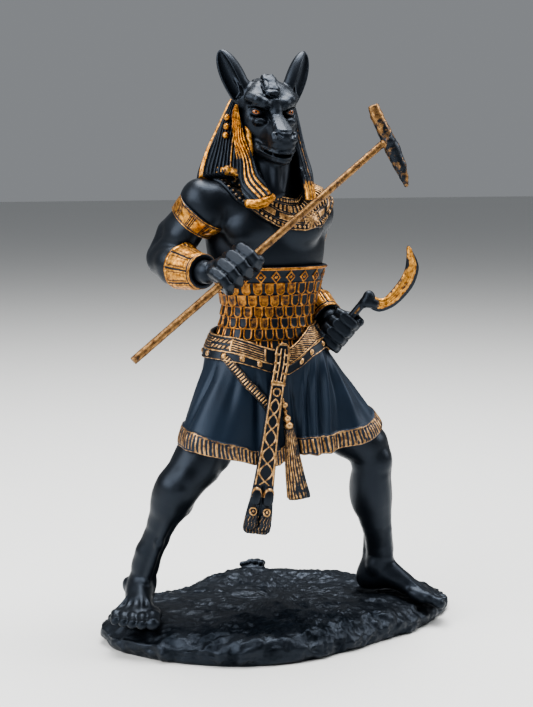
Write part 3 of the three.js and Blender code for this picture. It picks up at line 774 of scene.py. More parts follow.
def boxOf(q, centre, half, rounding):
    # a box with rounded edges
    w = np.abs(q - np.array(centre)) - (np.array(half) - rounding)
    return length(np.maximum(w, 0)) + np.minimum(w.max(1), 0) - rounding


# A fist closed round a rod: rod runs along it, c points out over the knuckles and e across

def fistFrame(rod, towards):
    rod = unit(rod)
    c = unit(np.array(towards, float) - rod * (np.array(towards, float) @ rod))
    return rod, c, unit(np.cross(rod, c))


def fistField(p, centre, axes, wrist, spread, scale):
    # the fist is worked out in its own axes, full size, with the wrist it grows from
    wristAt = (np.array(wrist) - centre) @ axes / scale
    q = (p - centre) @ axes / scale
    d = taper(q, wristAt, (-5.5, -2.0, 0), 5.6, 5.8)
    d = melt(d, lump(q, (-5.6, -1.6, 0.4), (4.8, 5.6, 11.8)), 2)
    # the fingers close on each other, so nothing shows between them
    d = melt(d, np.maximum(lump(q, (0.6, 0.4, 0.2), (5.2, 4.6, 11.6)), np.abs(q[:, 2]) - 10.4), 1.0)
    for place, size in spread:
        curl = 0.35 * abs(place) / 10
        chain = [(-8.4, 2.2 - curl, place * 0.92, 3.2 * size), (-4.6, 4.4 - curl, place, 3.5 * size),
                 (-0.5, 5.2 - curl, place, 3.25 * size), (3.2, 4.8 - curl, place, 3.35 * size),
                 (5.9, 1.0, place, 3.15 * size), (4.6, -3.4, place, 3.1 * size),
                 (0.4, -4.6, place, 2.7 * size)]
        # each finger is planed flat on its outer faces
        finger = np.maximum(strand(q, chain, 0.5),
                            boxOf(q, (-1.2, 0.2, place), (9.4, 7.5 - curl, 3.05 * size), 1.1))
        nail = lump(q, (3.2, -6.3, place), (1.9, 0.5, 1.5))
        d = melt(d, melt(finger, nail, 0.2), 0.55)
        back = taper(q, (-4.8, 5.0 - curl, place), wristAt * np.array([1.0, 1.0, 0.5]) + (0, 2.5, 0),
                     1.7, 1.2)
        d = melt(d, back, 1.0)
    thumb = strand(q, [(-8.5, -5.0, 1.0, 4.2), (-4.5, -6.8, 8.0, 3.8), (1.6, -4.6, 12.4, 3.3),
                       (6.0, 0.2, 12.8, 2.8)], 1.2)
    return melt(d, thumb, 0.9) * scale


handSettings = {
    "rightScale": 0.85,
    "leftScale": 0.77,
    # place along the rod and relative size of each finger, from the forefinger down
    "right": ((10.4, 1.02), (3.7, 1.1), (-3.1, 1.06), (-9.4, 0.93)),
    "left": ((9.3, 1.0), (3.2, 1.08), (-3.0, 1.04), (-8.9, 0.92)),
    "rightRoll": 40,  # degrees the right fist is rolled back round the staff
    "reach": 19,  # half the box that a fist is drawn in
}
rightRod, rightOut, rightAcross = fistFrame((0.788, 0.077, 0.611), (-0.36, -0.93, 0.05))
roll = math.radians(handSettings["rightRoll"])
rightOut, rightAcross = (rightOut * math.cos(roll) - rightAcross * math.sin(roll),
                         rightAcross * math.cos(roll) + rightOut * math.sin(roll))
leftRod, leftOut, leftAcross = fistFrame((0.607, -0.208, 0.767), (-0.309, -0.951, 0.13))
rightFist, leftFist = np.array([-36.9, -43.5, 181.0]), np.array([24.0, -15.3, 147.9])


def torsoField(p):
    d = chestField(p)
    d = melt(d, rightArmField(p), 4.2)
    d = melt(d, leftArmField(p), 4.0)
    # the chest muscles reach up to the shoulders
    d = melt(d, taper(p, (-22, -17.5, 206), (-36.5, -12.5, 213), 6.2, 6.6), 3)
    d = melt(d, taper(p, (3, -17.0, 204), (11, -12.5, 209), 5.8, 6.4), 3)
    # collar bones and the hollow at the throat
    for x in (-22.5, 3.5):
        d = melt(d, taper(p, (-9.5 + (x + 9.5) * 0.25, -16.5, 211), (x, -14, 213.5), 1.8, 1.8), 2)
    return d


def makeHand(side, centre, axes, wrist):
    def field(p):
        return fistField(p, centre, axes, wrist, handSettings[side], handSettings[side + "Scale"])

    around = handSettings["reach"]
    skinPiece(side + "Hand", field, centre - around, centre + around, bodySettings["handStep"], satinResin)


skinPiece("chestAndArms", torsoField, *bodySettings["box"], bodySettings["step"], satinResin)
makeHand("right", rightFist, np.stack([rightAcross, rightOut, rightRod], 1), rightWrist)
makeHand("left", leftFist, np.stack([leftAcross, leftOut, leftRod], 1), leftWrist)
print("body done")


# Dress kit: grids laid on the body, raised into relief and closed behind

def spline(stations, count):
    # a smooth line through the stations, evenly spaced, with its running length
    s = np.array(stations, float)
    ends = np.concatenate([2 * s[:1] - s[1:2], s, 2 * s[-1:] - s[-2:-1]])
    t = np.linspace(0, 1, 24, endpoint=False)[:, None]
    dense = []
    for a, b, c, d in zip(ends, ends[1:], ends[2:], ends[3:]):
        dense.append(0.5 * (2 * b + (c - a) * t + (2 * a - 5 * b + 4 * c - d) * t**2
                            + (3 * b - 3 * c + d - a) * t**3))
    dense = np.concatenate(dense + [s[-1:]])
    along = np.concatenate([[0], np.cumsum(np.linalg.norm(np.diff(dense[:, :3], axis=0), axis=1))])
    want = np.linspace(0, along[-1], count)
    return np.stack([np.interp(want, along, dense[:, k]) for k in range(dense.shape[1])], 1), want


def crosswise(vectors, axis):
    return vectors - axis * np.einsum("ij,ij->i", vectors, axis)[:, None]


def strip(name, stations, facing, relief, coat, thick=1.2, step=0.36, crown=0.0, under=0.96):
    # a band along stations of (x, y, z, half width)
    # relief takes the run along it, the offset across it and the half width
    run = spline(stations, 9)[1][-1]
    line, s = spline(stations, max(10, int(run / (step * coarse))))
    centre, half = line[:, :3], line[:, 3]
    tangent = unitRows(np.gradient(centre, axis=0))
    look = facing(centre) if callable(facing) else np.tile(np.array(facing, float), (len(centre), 1))
    normal = unitRows(crosswise(look, tangent))
    across = np.cross(tangent, normal)
    w = np.linspace(-1, 1, max(7, int(2 * half.max() / (step * coarse))))
    v = half[:, None] * w
    height, gold = relief(s[:, None] + 0 * v, v, half[:, None] + 0 * v)
    rise = height + crown * (1 - w**2)
    top = centre[:, None] + across[:, None] * v[..., None] + normal[:, None] * rise[..., None]
    below = centre[:, None] + across[:, None] * (v[:, ::-1] * under)[..., None] - normal[:, None] * thick
    return gridPiece(name, np.concatenate([top, below], 1), coat, np.concatenate([gold, 0 * gold], 1))


backRows = 6  # rows on the hidden inner side of a wrapped piece


def wrapped(name, base, normals, height, gold, coat, depth):
    # rows of loops round the body, raised on the outside; the inside lies depth below them
    rows, columns = base.shape[:2]
    outer = base + normals * height[..., None]
    back = np.linspace(rows - 1, 0, backRows).astype(int)
    rings = np.concatenate([outer, (base - normals * depth)[back]])
    points = rings.reshape(-1, 3)
    # the last row joins on to the first
    faces = gridFaces(len(rings) + 1, columns) % len(points)
    if signedVolume(points, faces) < 0:
        faces = faces[:, ::-1]
    paint = np.concatenate([gold, np.zeros((backRows, columns))]).ravel()
    return makeMesh(name, points, faces, coat, paint)


def runAlong(loop):
    # running length round closed loops, nought at the first column and negative on the far side
    gap = np.linalg.norm(np.roll(loop, -1, 1) - loop, axis=2)
    run = np.concatenate([np.zeros((len(loop), 1)), np.cumsum(gap, 1)[:, :-1]], 1)
    total = gap.sum(1, keepdims=True)
    return np.where(run > total / 2, run - total, run), total


def line(distance, half, soft=0.16):
    # a raised line, one inside half and nought outside it
    return 1 - smooth(np.abs(distance), half - soft, half + soft)


# Corset of overlapping scales under a row of lozenges

corsetSettings = {
    "top": 180.4,
    "bottom": 137.0,
    "scalesRound": 25,
    "lozengesRound": 20,
    "rowBottoms": (167.4, 161.8, 156.4, 151.1, 145.9, 140.6),
    "rowHeight": 6.0,
    "scaleHalfWidth": 2.2,
    "lozengesAt": 175.9,
    "bandFrom": 173.0,
    "thick": 1.8,
}
waistAxis = (-9.6, -6.6)


def ringPoint(theta, z, x=waistAxis[0], y=waistAxis[1], reach=90.0):
    # a point far outside the body at an angle from the front, and the axis point it walks towards
    away = np.stack([x + reach * np.sin(theta), y - reach * np.cos(theta), z], -1)
    return away, np.stack([x + 0 * z, y + 0 * z, z], -1)


def landedGrid(field, theta, z, lift, **axis):
    away, goal = ringPoint(theta, z, **axis)
    return landOn(field, away.reshape(-1, 3), goal.reshape(-1, 3), lift, 60).reshape(*theta.shape, 3)


def corsetRelief(turn, z, run):
    c = corsetSettings
    height = np.full(turn.shape, 0.1)
    gold = np.zeros(turn.shape)
    share = (turn / (2 * np.pi) + 1) % 1
    pitch = run / c["scalesRound"]
    for row, bottom in enumerate(c["rowBottoms"]):
        x = ((share * c["scalesRound"] + 0.5 * (row % 2) + 0.35) % 1 - 0.5) * pitch
        y = z - (bottom + c["scaleHalfWidth"])
        d = np.where(y > 0, np.abs(x), np.hypot(x, y)) - c["scaleHalfWidth"]
        d = np.maximum(d, z - bottom - c["rowHeight"])
        # each scale leans out towards its rounded end
        lean = 1 - np.clip((z - bottom) / c["rowHeight"], 0, 1)
        body = (0.35 + 0.75 * lean) * (1 - smooth(d, -0.25, 0.12))
        rim = line(d + 0.42, 0.34, 0.14) * (z < bottom + c["rowHeight"] - 0.4)
        here = body + 0.3 * rim
        fill = np.clip(0.62 - 0.55 * smooth(share, 0.02, 0.10) * (share < 0.5) - 0.16 * row
                       + 0.35 * bump(share, 0.93, 0.05), 0.05, 0.62)
        higher = here > height
        gold = np.where(higher, np.maximum(rim * 0.95, fill * (d < -0.3)), gold)
        height = np.maximum(height, here)
    # lozenges with a bead in the middle, between two rails
    x = ((share * c["lozengesRound"] + 0.72) % 1 - 0.5) * run / c["lozengesRound"]
    y = z - c["lozengesAt"]
    diamond = (np.abs(x) / 2.5 + np.abs(y) / 3.0) - 1
    outline = line(diamond * 2.0 + 0.36, 0.34, 0.16)
    bead = 1 - smooth(np.hypot(x, y), 0.55, 0.95)
    band = z > c["bandFrom"]
    height = np.where(band, 0.15 + 0.5 * outline + 0.6 * bead + 0.2 * (diamond < -0.3), height)
    gold = np.where(band, np.maximum(outline, bead) * 0.95, gold)
    rails = np.maximum(line(z - 179.6, 0.55), 0.6 * line(z - 172.9, 0.3))
    height = np.maximum(height, 0.85 * rails)
    return height, np.maximum(gold, rails)


def makeCorset():
    c = corsetSettings
    theta, z = np.meshgrid(turns(fine(450)), np.linspace(c["top"], c["bottom"], fine(106)))
    base = landedGrid(corsetField, theta, z, 0.35)
    run, total = runAlong(base)
    height, gold = corsetRelief(run / total * 2 * np.pi, z, total)
    normals = outwardNormals(base, (*waistAxis, 0), level=True)
    return wrapped("scaleCorset", base, normals, height, gold, bronzeRubbed, c["thick"])


# Kilt: heavy cloth with fanned folds and a ribbed band along the hem

kiltSettings = {
    "hemAt": ((-180, 96), (-130, 97), (-89, 96.7), (-67, 95.7), (-52, 92.0), (-40, 88.8), (-19, 88.0),
              (-2, 92.5), (23, 91.7), (40, 92.4), (55, 95.0), (70, 99.0), (84, 104.6), (100, 105.0),
              (130, 100), (180, 96)),
    "bandAt": ((-180, 8.5), (-89, 9.6), (-60, 8.2), (-40, 7.0), (-10, 7.5), (20, 8.8), (50, 8.2),
               (70, 6.6), (84, 5.6), (110, 7), (180, 8.5)),
    # each fold: angle at the belt, angle at the hem, half width in degrees at the hem, height in mm
    "folds": ((-86, -97, 7, 0.9), (-70, -79, 4, -1.2), (-62, -70, 6, 0.8), (-50, -57, 4, -0.6),
              (-44, -51, 5, 0.5), (-33, -36, 5, -1.6), (-24, -26, 4, 0.6), (-14, -14, 5, -0.7),
              (6, 3, 4, -1.2), (32, 9, 3.4, 1.3), (43, 15, 3.2, -1.4), (52, 21, 3.6, 1.6),
              (60, 28, 3.6, -1.5), (67, 35, 4, 1.7), (74, 44, 4, -1.3), (80, 54, 4.4, 1.3),
              (86, 66, 4.4, -0.9), (92, 78, 5, 1.0), (98, 94, 6, -0.8), (108, 110, 6, 0.9),
              (122, 124, 7, -1.0), (139, 139, 6, 1.0), (154, 152, 6, -1.0), (170, 168, 6, 1.0),
              (-172, -176, 6, -1.0), (-156, -158, 6, 1.0), (-141, -142, 6, -1.0), (-126, -127, 6, 1.0),
              (-110, -112, 6, -0.8)),
    "ribPitch": 1.95,
    "thick": 1.6,
}


def aroundTable(theta, table):
    keys, values = zip(*table)
    return np.interp(np.degrees(theta), keys, values)


def makeKilt():
    k = kiltSettings
    rows = fine(88)
    share = np.linspace(0, 1, rows)[:, None]
    theta = turns(fine(540), -np.pi)[None] + 0 * share
    hem, top = aroundTable(theta, k["hemAt"]), aroundTable(theta, beltSettings["lower"]) - 0.3
    z = top + (hem - top) * share
    base = landedGrid(kiltField, theta, z, 0.0, x=-8.0 + 5.0 * share + 0 * theta, y=-7.0)
    points = base.reshape(-1, 3)
    normals = outwardNormals(base, (-6, -7, 118))
    angle = np.degrees(theta)
    grow = smooth(share, 0.02, 0.35) * (1 - 0.3 * smooth(share, 0.6, 0.9))
    rise = np.zeros(theta.shape)
    for high, low, wide, tall in k["folds"]:
        # the folds on his left swing across quickly and then hang
        off = (angle - (high + (low - high) * share ** (0.45 if 25 < high < 90 else 0.8)) + 180) % 360 - 180
        rise += tall * grow * bump(off, 0, wide * (0.5 + 0.5 * share))
    rise += 0.25 * softNoise(points, 9, 31).reshape(theta.shape) * grow
    # the hem band is ribbed upright between two rails
    fromHem = z - hem
    band = aroundTable(theta, k["bandAt"])
    run = np.tile(runAlong(base)[0][int(rows * 0.9)], (rows, 1))
    ribs = np.abs((run / k["ribPitch"] + 0.12 * softNoise(points, 3, 5).reshape(theta.shape)) % 1 - 0.5) * 2
    rib = smooth(ribs, 0.25, 0.6) * (fromHem > 1.0) * (fromHem < band - 0.9)
    rails = np.maximum(line(fromHem - 0.5, 0.42), line(fromHem - band + 0.4, 0.4))
    inBand = smooth(band - fromHem, -0.15, 0.15)
    rise += inBand * 0.45 + 0.55 * rib * inBand + 0.5 * rails * inBand
    gold = inBand * np.maximum(rib * 0.7, rails * 0.6)
    return wrapped("kilt", base, normals, rise, gold, kiltResin, k["thick"])


# Belts: a wide patterned one over a studded strap, both dipping to the buckle

beltSettings = {
    "upper": ((-180, 147.0), (-120, 146.6), (-89, 144.8), (-71, 144.6), (-54, 144.1), (-39, 142.4),
              (-23, 140.2), (-11, 138.9), (0, 138.0), (8, 138.6), (20, 141.1), (34, 144.4), (52, 148.0),
              (90, 149.5), (130, 148.5), (180, 147.5)),
    "lower": ((-180, 140.3), (-86, 139.4), (-79, 139.6), (-65, 139.4), (-46, 138.4), (-30, 136.4),
              (-14, 134.0), (0, 132.4), (8, 132.8), (23, 135.9), (39, 140.1), (60, 143.0), (90, 143.3),
              (180, 140.5)),
    "upperHalf": 3.7,
    "lowerHalf": 2.3,
    "thick": 1.2,
    "studAngles": (-62, -44, -26, 24, 39, 60, 82, 104, 126, 148, 170, -168, -146, -124, -102, -82),
}


def hipField(p):
    return np.minimum(corsetField(p) - 0.5 + 60 * (p[:, 2] < 135), kiltField(p))


def upperRelief(angle, run, w, half):
    rails = np.maximum(line(w - half + 0.4, 0.3), line(w + half - 0.4, 0.3))
    inner = np.abs(w) < half - 1.0
    bars = line((w + 2.5) % 1.0 - 0.5, 0.2, 0.1)
    squares = line((run % 2.4) - 1.2, 0.75) * line(np.abs(w) - 1.25, 0.75)
    ribs = line(((run + 0.5 * w) % 1.9) - 0.95, 0.5)
    left = (angle > -56) & (angle < -22)
    right = (angle > 5) & (angle < 62)
    small = (angle > -82) & (angle <= -58)
    pattern = np.where(left, bars, np.where(right, ribs, np.where(small, squares, 0)))
    panel = np.floor(angle / 24) % 2 == 0
    pattern = np.where((np.abs(angle) > 70) & ~small, np.where(panel, bars, squares), pattern)
    ends = np.maximum(line(angle + 57, 1.0, 0.4), line(angle + 20, 1.0, 0.4))
    pattern = np.maximum(pattern * inner, ends * inner)
    return 0.35 + 0.5 * rails + 0.45 * pattern, np.maximum(rails, pattern * 0.85)


def lowerRelief(angle, w, half, scale):
    # scale is how many mm a degree takes up
    rails = np.maximum(line(w - half + 0.3, 0.26), line(w + half - 0.3, 0.26))
    stud = np.zeros(angle.shape)
    for at in beltSettings["studAngles"]:
        off = (angle - at + 180) % 360 - 180
        stud = np.maximum(stud, np.clip(1 - (off * scale / 1.35) ** 2 - (w / 1.35) ** 2, 0, 1))
    return 0.4 + 0.35 * rails + 1.0 * np.sqrt(stud), np.maximum(rails * 0.75, (stud > 0.02) * 1.0)


def makeBelt(name, key, lift):
    half = beltSettings[key + "Half"]
    w = np.linspace(half, -half, fine(half * 2 / 0.28))[:, None]
    theta = turns(fine(500), -np.pi)[None] + 0 * w
    z = aroundTable(theta, beltSettings[key]) + w
    base = landedGrid(hipField, theta, z, lift)
    normals = outwardNormals(base, (*waistAxis, 141))
    run, total = runAlong(base)
    w = w + 0 * theta
    angle = np.degrees(theta)
    if key == "upper":
        height, gold = upperRelief(angle, run, w, half)
    else:
        height, gold = lowerRelief(angle, w, half, total / 360)
    return wrapped(name, base, normals, height, gold, goldRubbed, beltSettings["thick"])


# Front flap with its arched buckle, crossing chain and carved end, the overlap band and the tassel

flapSettings = {
    "stations": ((-9.2, -29.6, 145.4, 0.7), (-9.3, -29.9, 144.8, 2.1), (-9.5, -30.3, 143.6, 3.2),
                 (-9.9, -30.8, 141.2, 3.7), (-10.8, -31.6, 135.5, 3.6), (-13.0, -32.9, 126.5, 3.4),
                 (-16.2, -34.6, 109, 3.7), (-18.9, -35.6, 92, 4.3), (-21.4, -35.9, 76, 5.2),
                 (-22.8, -35.8, 67.5, 6.2), (-23.9, -35.5, 60.5, 6.7), (-24.3, -35.3, 58.0, 6.2),
                 (-24.5, -35.2, 56.8, 4.6)),
    "bar": 19.0,
    "nodes": (26.3, 33.4, 40.5, 48.6, 56.4, 65.0),
    "end": 67.0,
}


def flapRelief(s, v, half):
    f = flapSettings
    edge = half - np.abs(v)
    # buckle: an arch, a bar down its middle and steps across
    arch = np.minimum(edge, s)
    buckle = np.maximum(line(arch - 0.75, 0.5), line(np.abs(v) - 0.95, 0.26) * (s > 3))
    for at in (5.6, 9.8, 14.0):
        buckle = np.maximum(buckle, line(s - at, 0.35) * (np.abs(v) > 0.9))
    bar = line(s - f["bar"], 0.95)
    buckle = buckle * (s < f["bar"])
    # crossing chain with a ring at its head
    ring = line(np.hypot(s - 23.2, v) - 1.7, 0.34)
    nodes = np.array(f["nodes"])
    index = np.clip(np.searchsorted(nodes, s.ravel()) - 1, 0, len(nodes) - 2).reshape(s.shape)
    phase = (s - nodes[index]) / (nodes[index + 1] - nodes[index])
    reach = np.interp(s, [26, 65], [2.0, 3.3])
    wave = reach * np.abs(np.sin(np.pi * np.clip(phase, 0, 1)))
    inChain = (s > nodes[0]) & (s < f["nodes"][-1])
    legs = (s >= f["nodes"][-1] - 0.2) & (s < f["end"] + 1.5)
    wave = np.where(legs, (s - f["nodes"][-1]) * 1.3, wave)
    chain = line(np.abs(v) - wave, 0.42) * (inChain | legs)
    edges = line(edge - 0.75, 0.38) * (s > f["bar"]) * (s < f["end"])
    gold = np.maximum.reduce([buckle, bar, ring, chain, edges])
    height = 0.25 + 0.65 * np.maximum.reduce([buckle, bar * 1.3, ring, chain, edges])
    # carved end: two hooded heads side by side with curled eyes
    low = s > f["end"]
    x = np.abs(v) - 3.1
    dome = np.sqrt(np.clip(1 - (x / 2.9) ** 2 - ((s - 72.5) / 4.6) ** 2, 0, 1))
    hood = line(np.sqrt((x / 2.9) ** 2 + ((s - 72.0) / 3.9) ** 2) * 3 - 2.7, 0.42) * (s < 72.5)
    curl = np.hypot(x - 0.2, s - 79.4)
    eye = np.maximum(line(curl - 1.55, 0.36), 1 - smooth(curl, 0.4, 0.8))
    snout = np.sqrt(np.clip(1 - (x / 2.8) ** 2 - ((s - 84.0) / 5.2) ** 2, 0, 1))
    cuts = 0.5 + 0.5 * np.sin(v * 4.2 + 1.3 * np.sin(s * 1.7))
    carved = np.maximum(1.7 * dome, 1.5 * snout) + 0.5 * hood + 0.6 * eye - 0.35 * cuts * (s > 81)
    carved = carved - 0.9 * bump(v, 0, 0.6)
    height = np.where(low, 0.2 + carved, height)
    worn = np.maximum(np.maximum(hood, eye) * 0.9, (s > 81.5) * smooth(cuts, 0.75, 0.95) * 0.6)
    return height, np.where(low, worn, gold)


def makeFlap():
    return strip("frontFlap", flapSettings["stations"], (-0.05, -1.0, 0.1), flapRelief, goldRubbed,
                 thick=1.6, step=0.38, crown=0.25)


overlapSettings = {
    "stations": ((-34.6, -21.0, 138.6, 1.9), (-32.4, -23.8, 135.2, 2.1), (-29.6, -26.2, 131.3, 2.2),
                 (-26.6, -28.3, 127.1, 2.2), (-22.4, -30.0, 122.7, 2.2), (-18.2, -31.2, 117.6, 2.1),
                 (-15.5, -31.6, 113.0, 1.9)),
}


def overlapRelief(s, v, half):
    edge = half - np.abs(v)
    rib = line((s % 1.5) - 0.75, 0.36) * (edge > 0.7)
    rail = line(edge - 0.3, 0.26)
    return 0.5 + 0.45 * rib + 0.35 * rail, np.maximum(rib * 0.8, rail * 0.45)


def makeOverlap():
    return strip("kiltOverlapBand", overlapSettings["stations"],
                 lambda c: unitRows(slopeOf(kiltField, c, 0.5)), overlapRelief, goldRubbed,
                 thick=1.8, step=0.28)


tasselSettings = {
    "beads": ((-9.6, -32.4, 116.6, 1.75), (-9.0, -32.3, 113.6, 1.0), (-8.3, -32.4, 110.2, 2.0),
              (-7.5, -32.4, 106.8, 2.3)),
    "stations": ((-7.3, -32.4, 105.6, 2.0), (-7.0, -32.4, 104.6, 2.5), (-6.3, -32.2, 100.5, 2.6),
                 (-4.9, -31.4, 90.0, 3.9), (-3.0, -30.6, 79.0, 4.9), (-1.6, -30.0, 72.6, 5.6),
                 (-1.5, -30.0, 71.4, 5.2), (-1.45, -30.0, 70.9, 3.8), (-1.4, -30.0, 70.8, 0.8)),
    "strands": 20,
    "cord": ((-10.2, -31.5, 119.5), (-7.4, -32.2, 105.4), 0.7, 0.7),
    "beadBox": ((-13, -36, 103), (-4, -28, 120)),
}


def makeTassel():
    t = tasselSettings
    path, s = spline(t["stations"], fine(110))
    centre, half = path[:, :3], path[:, 3]
    tangent = unitRows(np.gradient(centre, axis=0))
    front = unitRows(crosswise(np.tile((-0.3, -0.95, 0.0), (len(centre), 1)), tangent))
    across = np.cross(tangent, front)
    turn = turns(fine(130))[None]
    wander = 0.35 * np.sin(s[:, None] * 0.55 + 3 * np.sin(turn * 3))
    wander = wander + 0.2 * np.sin(s[:, None] * 0.23 + turn * 5)
    ridge = np.abs(np.sin(t["strands"] * 0.5 * turn + wander))
    grow = smooth(s, 0.8, 4)[:, None]
    r = half[:, None] * (1 - 0.13 * grow * (1 - ridge**0.6))
    grid = (centre[:, None] + across[:, None] * (r * np.cos(turn))[..., None]
            + front[:, None] * (r * 0.62 * np.sin(turn))[..., None])
    # the gold is heavier on one side of the tassel, a painted highlight on the side towards the light,
    # broken by random patches
    paintedSideLightAndPatches = np.clip(0.62 + 0.2 * np.cos(turn)
                    + 0.3 * roughNoise(grid.reshape(-1, 3), 3, 3, 8).reshape(r.shape), 0, 1)
    gridPiece("tassel", grid, goldRubbed, smooth(ridge, 0.35, 0.9) * paintedSideLightAndPatches)

    def beadField(p):
        d = taper(p, *t["cord"])
        for x, y, z, r in t["beads"]:
            d = melt(d, lump(p, (x, y, z), (r, r, r * 0.85)), 0.2)
        return d

    skinPiece("tasselBeads", beadField, *t["beadBox"], 0.36, goldRubbed, lambda points: 0.85)


makeCorset()
makeKilt()
makeBelt("patternedBelt", "upper", 0.7)
makeBelt("studdedStrap", "lower", 0.8)
makeFlap()
makeOverlap()
makeTassel()
print("corset, kilt and belts done")


# Legs and feet

legSettings = {
    "step": 0.84,
    "rightBox": ((-96, -42, 12), (-4, 24, 143)),
    "leftBox": ((-14, -34, 5), (94, 24, 143)),
    # stations of (x, y, z, radius) from the hip to the ankle
    "right": ((-22, -6, 126, 15.5), (-36.2, -8, 101.9, 13.4), (-46, -10.5, 86.9, 11.4),
              (-50.8, -11.5, 81.6, 9.6), (-56, -12, 75.9, 9.8), (-58.2, -10, 70.9, 9.0),
              (-59.5, -9, 66.2, 8.0), (-62.2, -6, 58.4, 6.2), (-64.5, -3, 50, 5.7),
              (-67.6, -1, 42.8, 5.8), (-68.9, 1, 35.9, 5.9), (-70.5, 3, 26.5, 5.8),
              (-71.1, 3.5, 19.5, 6.4)),
    "left": ((5, -6, 126, 15.5), (32.1, -10, 98.3, 13.1), (39.4, -13, 90.9, 10.2),
             (42.6, -14.5, 83.5, 8.6), (42.2, -14, 78.4, 8.4), (42.1, -13, 73.1, 8.9),
             (42.9, -12, 67.8, 9.2), (44, -11, 62.4, 8.7), (45.2, -10, 57, 7.6), (46.5, -9, 51.6, 6.9),
             (48.5, -7, 45.8, 6.3), (50.1, -5, 40, 6.0), (51.2, -4, 34.5, 5.9), (51.1, -2.6, 27.9, 6.0),
             (50.8, -1.8, 20.5, 6.4)),
    "rightMuscles": (
        ("bulge", (-43, -17.5, 95), (6.5, 5.2, 13)), ("bulge", (-35, -14, 94), (5.5, 6, 10)),
        ("bulge", (-53.2, -18.6, 81.8), (4.6, 3.6, 5.4)), ("bulge", (-60.5, -13.5, 71), (3.6, 3.6, 9)),
        ("bulge", (-51.8, -6, 70.5), (5.6, 7.5, 10)), ("bulge", (-60, -2.5, 66), (5.4, 5.6, 13)),
        ("ridge", (-56.5, -20.4, 76.5), (-64.8, -10.4, 49), 1.5),
        ("ridge", (-64.8, -10.4, 49), (-70.2, -4.5, 28), 1.4),
        ("ridge", (-64.5, 3.0, 48), (-70.3, 9.2, 22), 2.0),
    ),
    "leftMuscles": (
        ("bulge", (35.5, -18.5, 95), (5.6, 4.6, 10)), ("bulge", (44.4, -20.6, 84), (4.6, 3.4, 5.0)),
        ("bulge", (37.0, -13.5, 82.5), (4.2, 4.4, 4.8)), ("bulge", (38.6, -9, 68), (5.4, 6.5, 13)),
        ("bulge", (47, -6.5, 66), (5.4, 6, 13)),
        ("ridge", (45.5, -21.0, 76), (51.0, -12.8, 48), 1.4),
        ("ridge", (51.0, -12.8, 48), (54.4, -8.6, 32), 1.3),
        ("ridge", (46.2, 0.0, 48), (46.4, 4.2, 22), 2.0),
    ),
}
footSettings = {
    "sole": 14.2,  # height of the soles; drop is how far the toes hang below the heel
    "rightFoot": {"ankle": (-71.9, 3.0), "heading": (-0.26, -0.965), "inside": -1, "drop": 0.0,
                  "wide": 1.24},
    "leftFoot": {"ankle": (51.5, -2.5), "heading": (0.81, -0.58), "inside": 1, "drop": 5.5, "wide": 1.04},
    # toes from the big one out: offset across, reach, radius
    "toes": ((6.0, 33.6, 2.9), (2.0, 34.8, 2.15), (-1.5, 33.4, 2.05), (-4.8, 31.2, 1.95),
             (-7.9, 28.2, 1.9)),
}


def footField(p, foot):
    forward = unit((*foot["heading"], 0))
    side = unit(np.cross(forward, (0, 0, 1))) * foot["inside"]
    offset = p - np.array((*foot["ankle"], 0))
    a, b = offset @ forward, offset @ side
    b = b / (1 + (foot["wide"] - 1) * smooth(a, 4, 20))
    h = p[:, 2] - (footSettings["sole"] - foot["drop"] * smooth(a, 0, 36))
    q = np.stack([a, b, h], 1)
    d = lump(q, (-6.6, 0, 5.4), (5.4, 5.4, 6.0))
    d = melt(d, strand(q, [(-4, 0, 9.5, 6.2), (5, 0.6, 8.6, 6.2), (13, 0.8, 6.0, 5.6)], 3), 3)
    for centre, size in (((21.5, 5.0, 3.5), (6.6, 4.4, 4.0)), ((20.5, 0.2, 3.8), (7.2, 5.4, 3.8)),
                         ((18.0, -5.4, 3.0), (8.0, 4.4, 3.2)), ((6.5, -3.4, 3.2), (9.5, 3.8, 3.4))):
        d = melt(d, lump(q, centre, size), 2.4)
    d = melt(d, taper(q, (1, 1.2, 15.5), (17, 2.4, 6.6), 3.4, 2.4), 2.5)
    d = carve(d, lump(q, (7.5, 8.2, 0.8), (7.5, 3.4, 3.4)), 1.5)
    for index, (across, reach, r) in enumerate(footSettings["toes"]):
        root = reach - 12
        toe = strand(q, [(root, across * 0.9, 3.9, r * 0.95), (reach - 7.2, across * 1.02, 4.3, r * 0.96),
                         (reach - 3.4, across * 1.04, 3.2, r * 0.88),
                         (reach - 1.2, across * 1.02, 2.4, r)], 0.7)
        toe = melt(toe, lump(q, (reach - 6.4, across * 1.02, 5.0), (1.7, r * 0.8, 1.2)), 0.8)
        nail = lump(q, (reach - 0.6, across * 1.02, 2.6 + r * 0.82), (1.7, r * 0.66, 0.55))
        d = melt(d, melt(toe, nail, 0.15), 0.6 if index else 0.9)
        tendon = taper(q, (5.5, 0.6 + across * 0.16, 13.6),
                       (root + 1.5, across * 0.92, 6.6 - 0.25 * index), 0.95, 0.75)
        d = melt(d, tendon, 1.0)
    d = melt(d, lump(q, (-1.5, 5.9, 12.6), (3.4, 2.3, 3.6)), 1.6)
    d = melt(d, lump(q, (-3.0, -5.8, 11.0), (3.2, 2.2, 3.4)), 1.6)
    return np.maximum(d, -0.6 - h)


def hemHeight(p):
    return aroundTable(np.arctan2(p[:, 0] + 3, -p[:, 1] - 7), kiltSettings["hemAt"])


def legField(p, stations, muscles, foot):
    d = strand(p, stations, 3.5)
    for kind, *shape in muscles:
        part = lump(p, *shape) if kind == "bulge" else taper(p, *shape, shape[2] * 0.9)
        d = melt(d, part, 2.6)
    # the thighs are slimmer where the kilt hides them
    d = d + 3.2 * smooth(p[:, 2], hemHeight(p) - 1, hemHeight(p) + 7)
    return melt(d, footField(p, foot), 3.0)


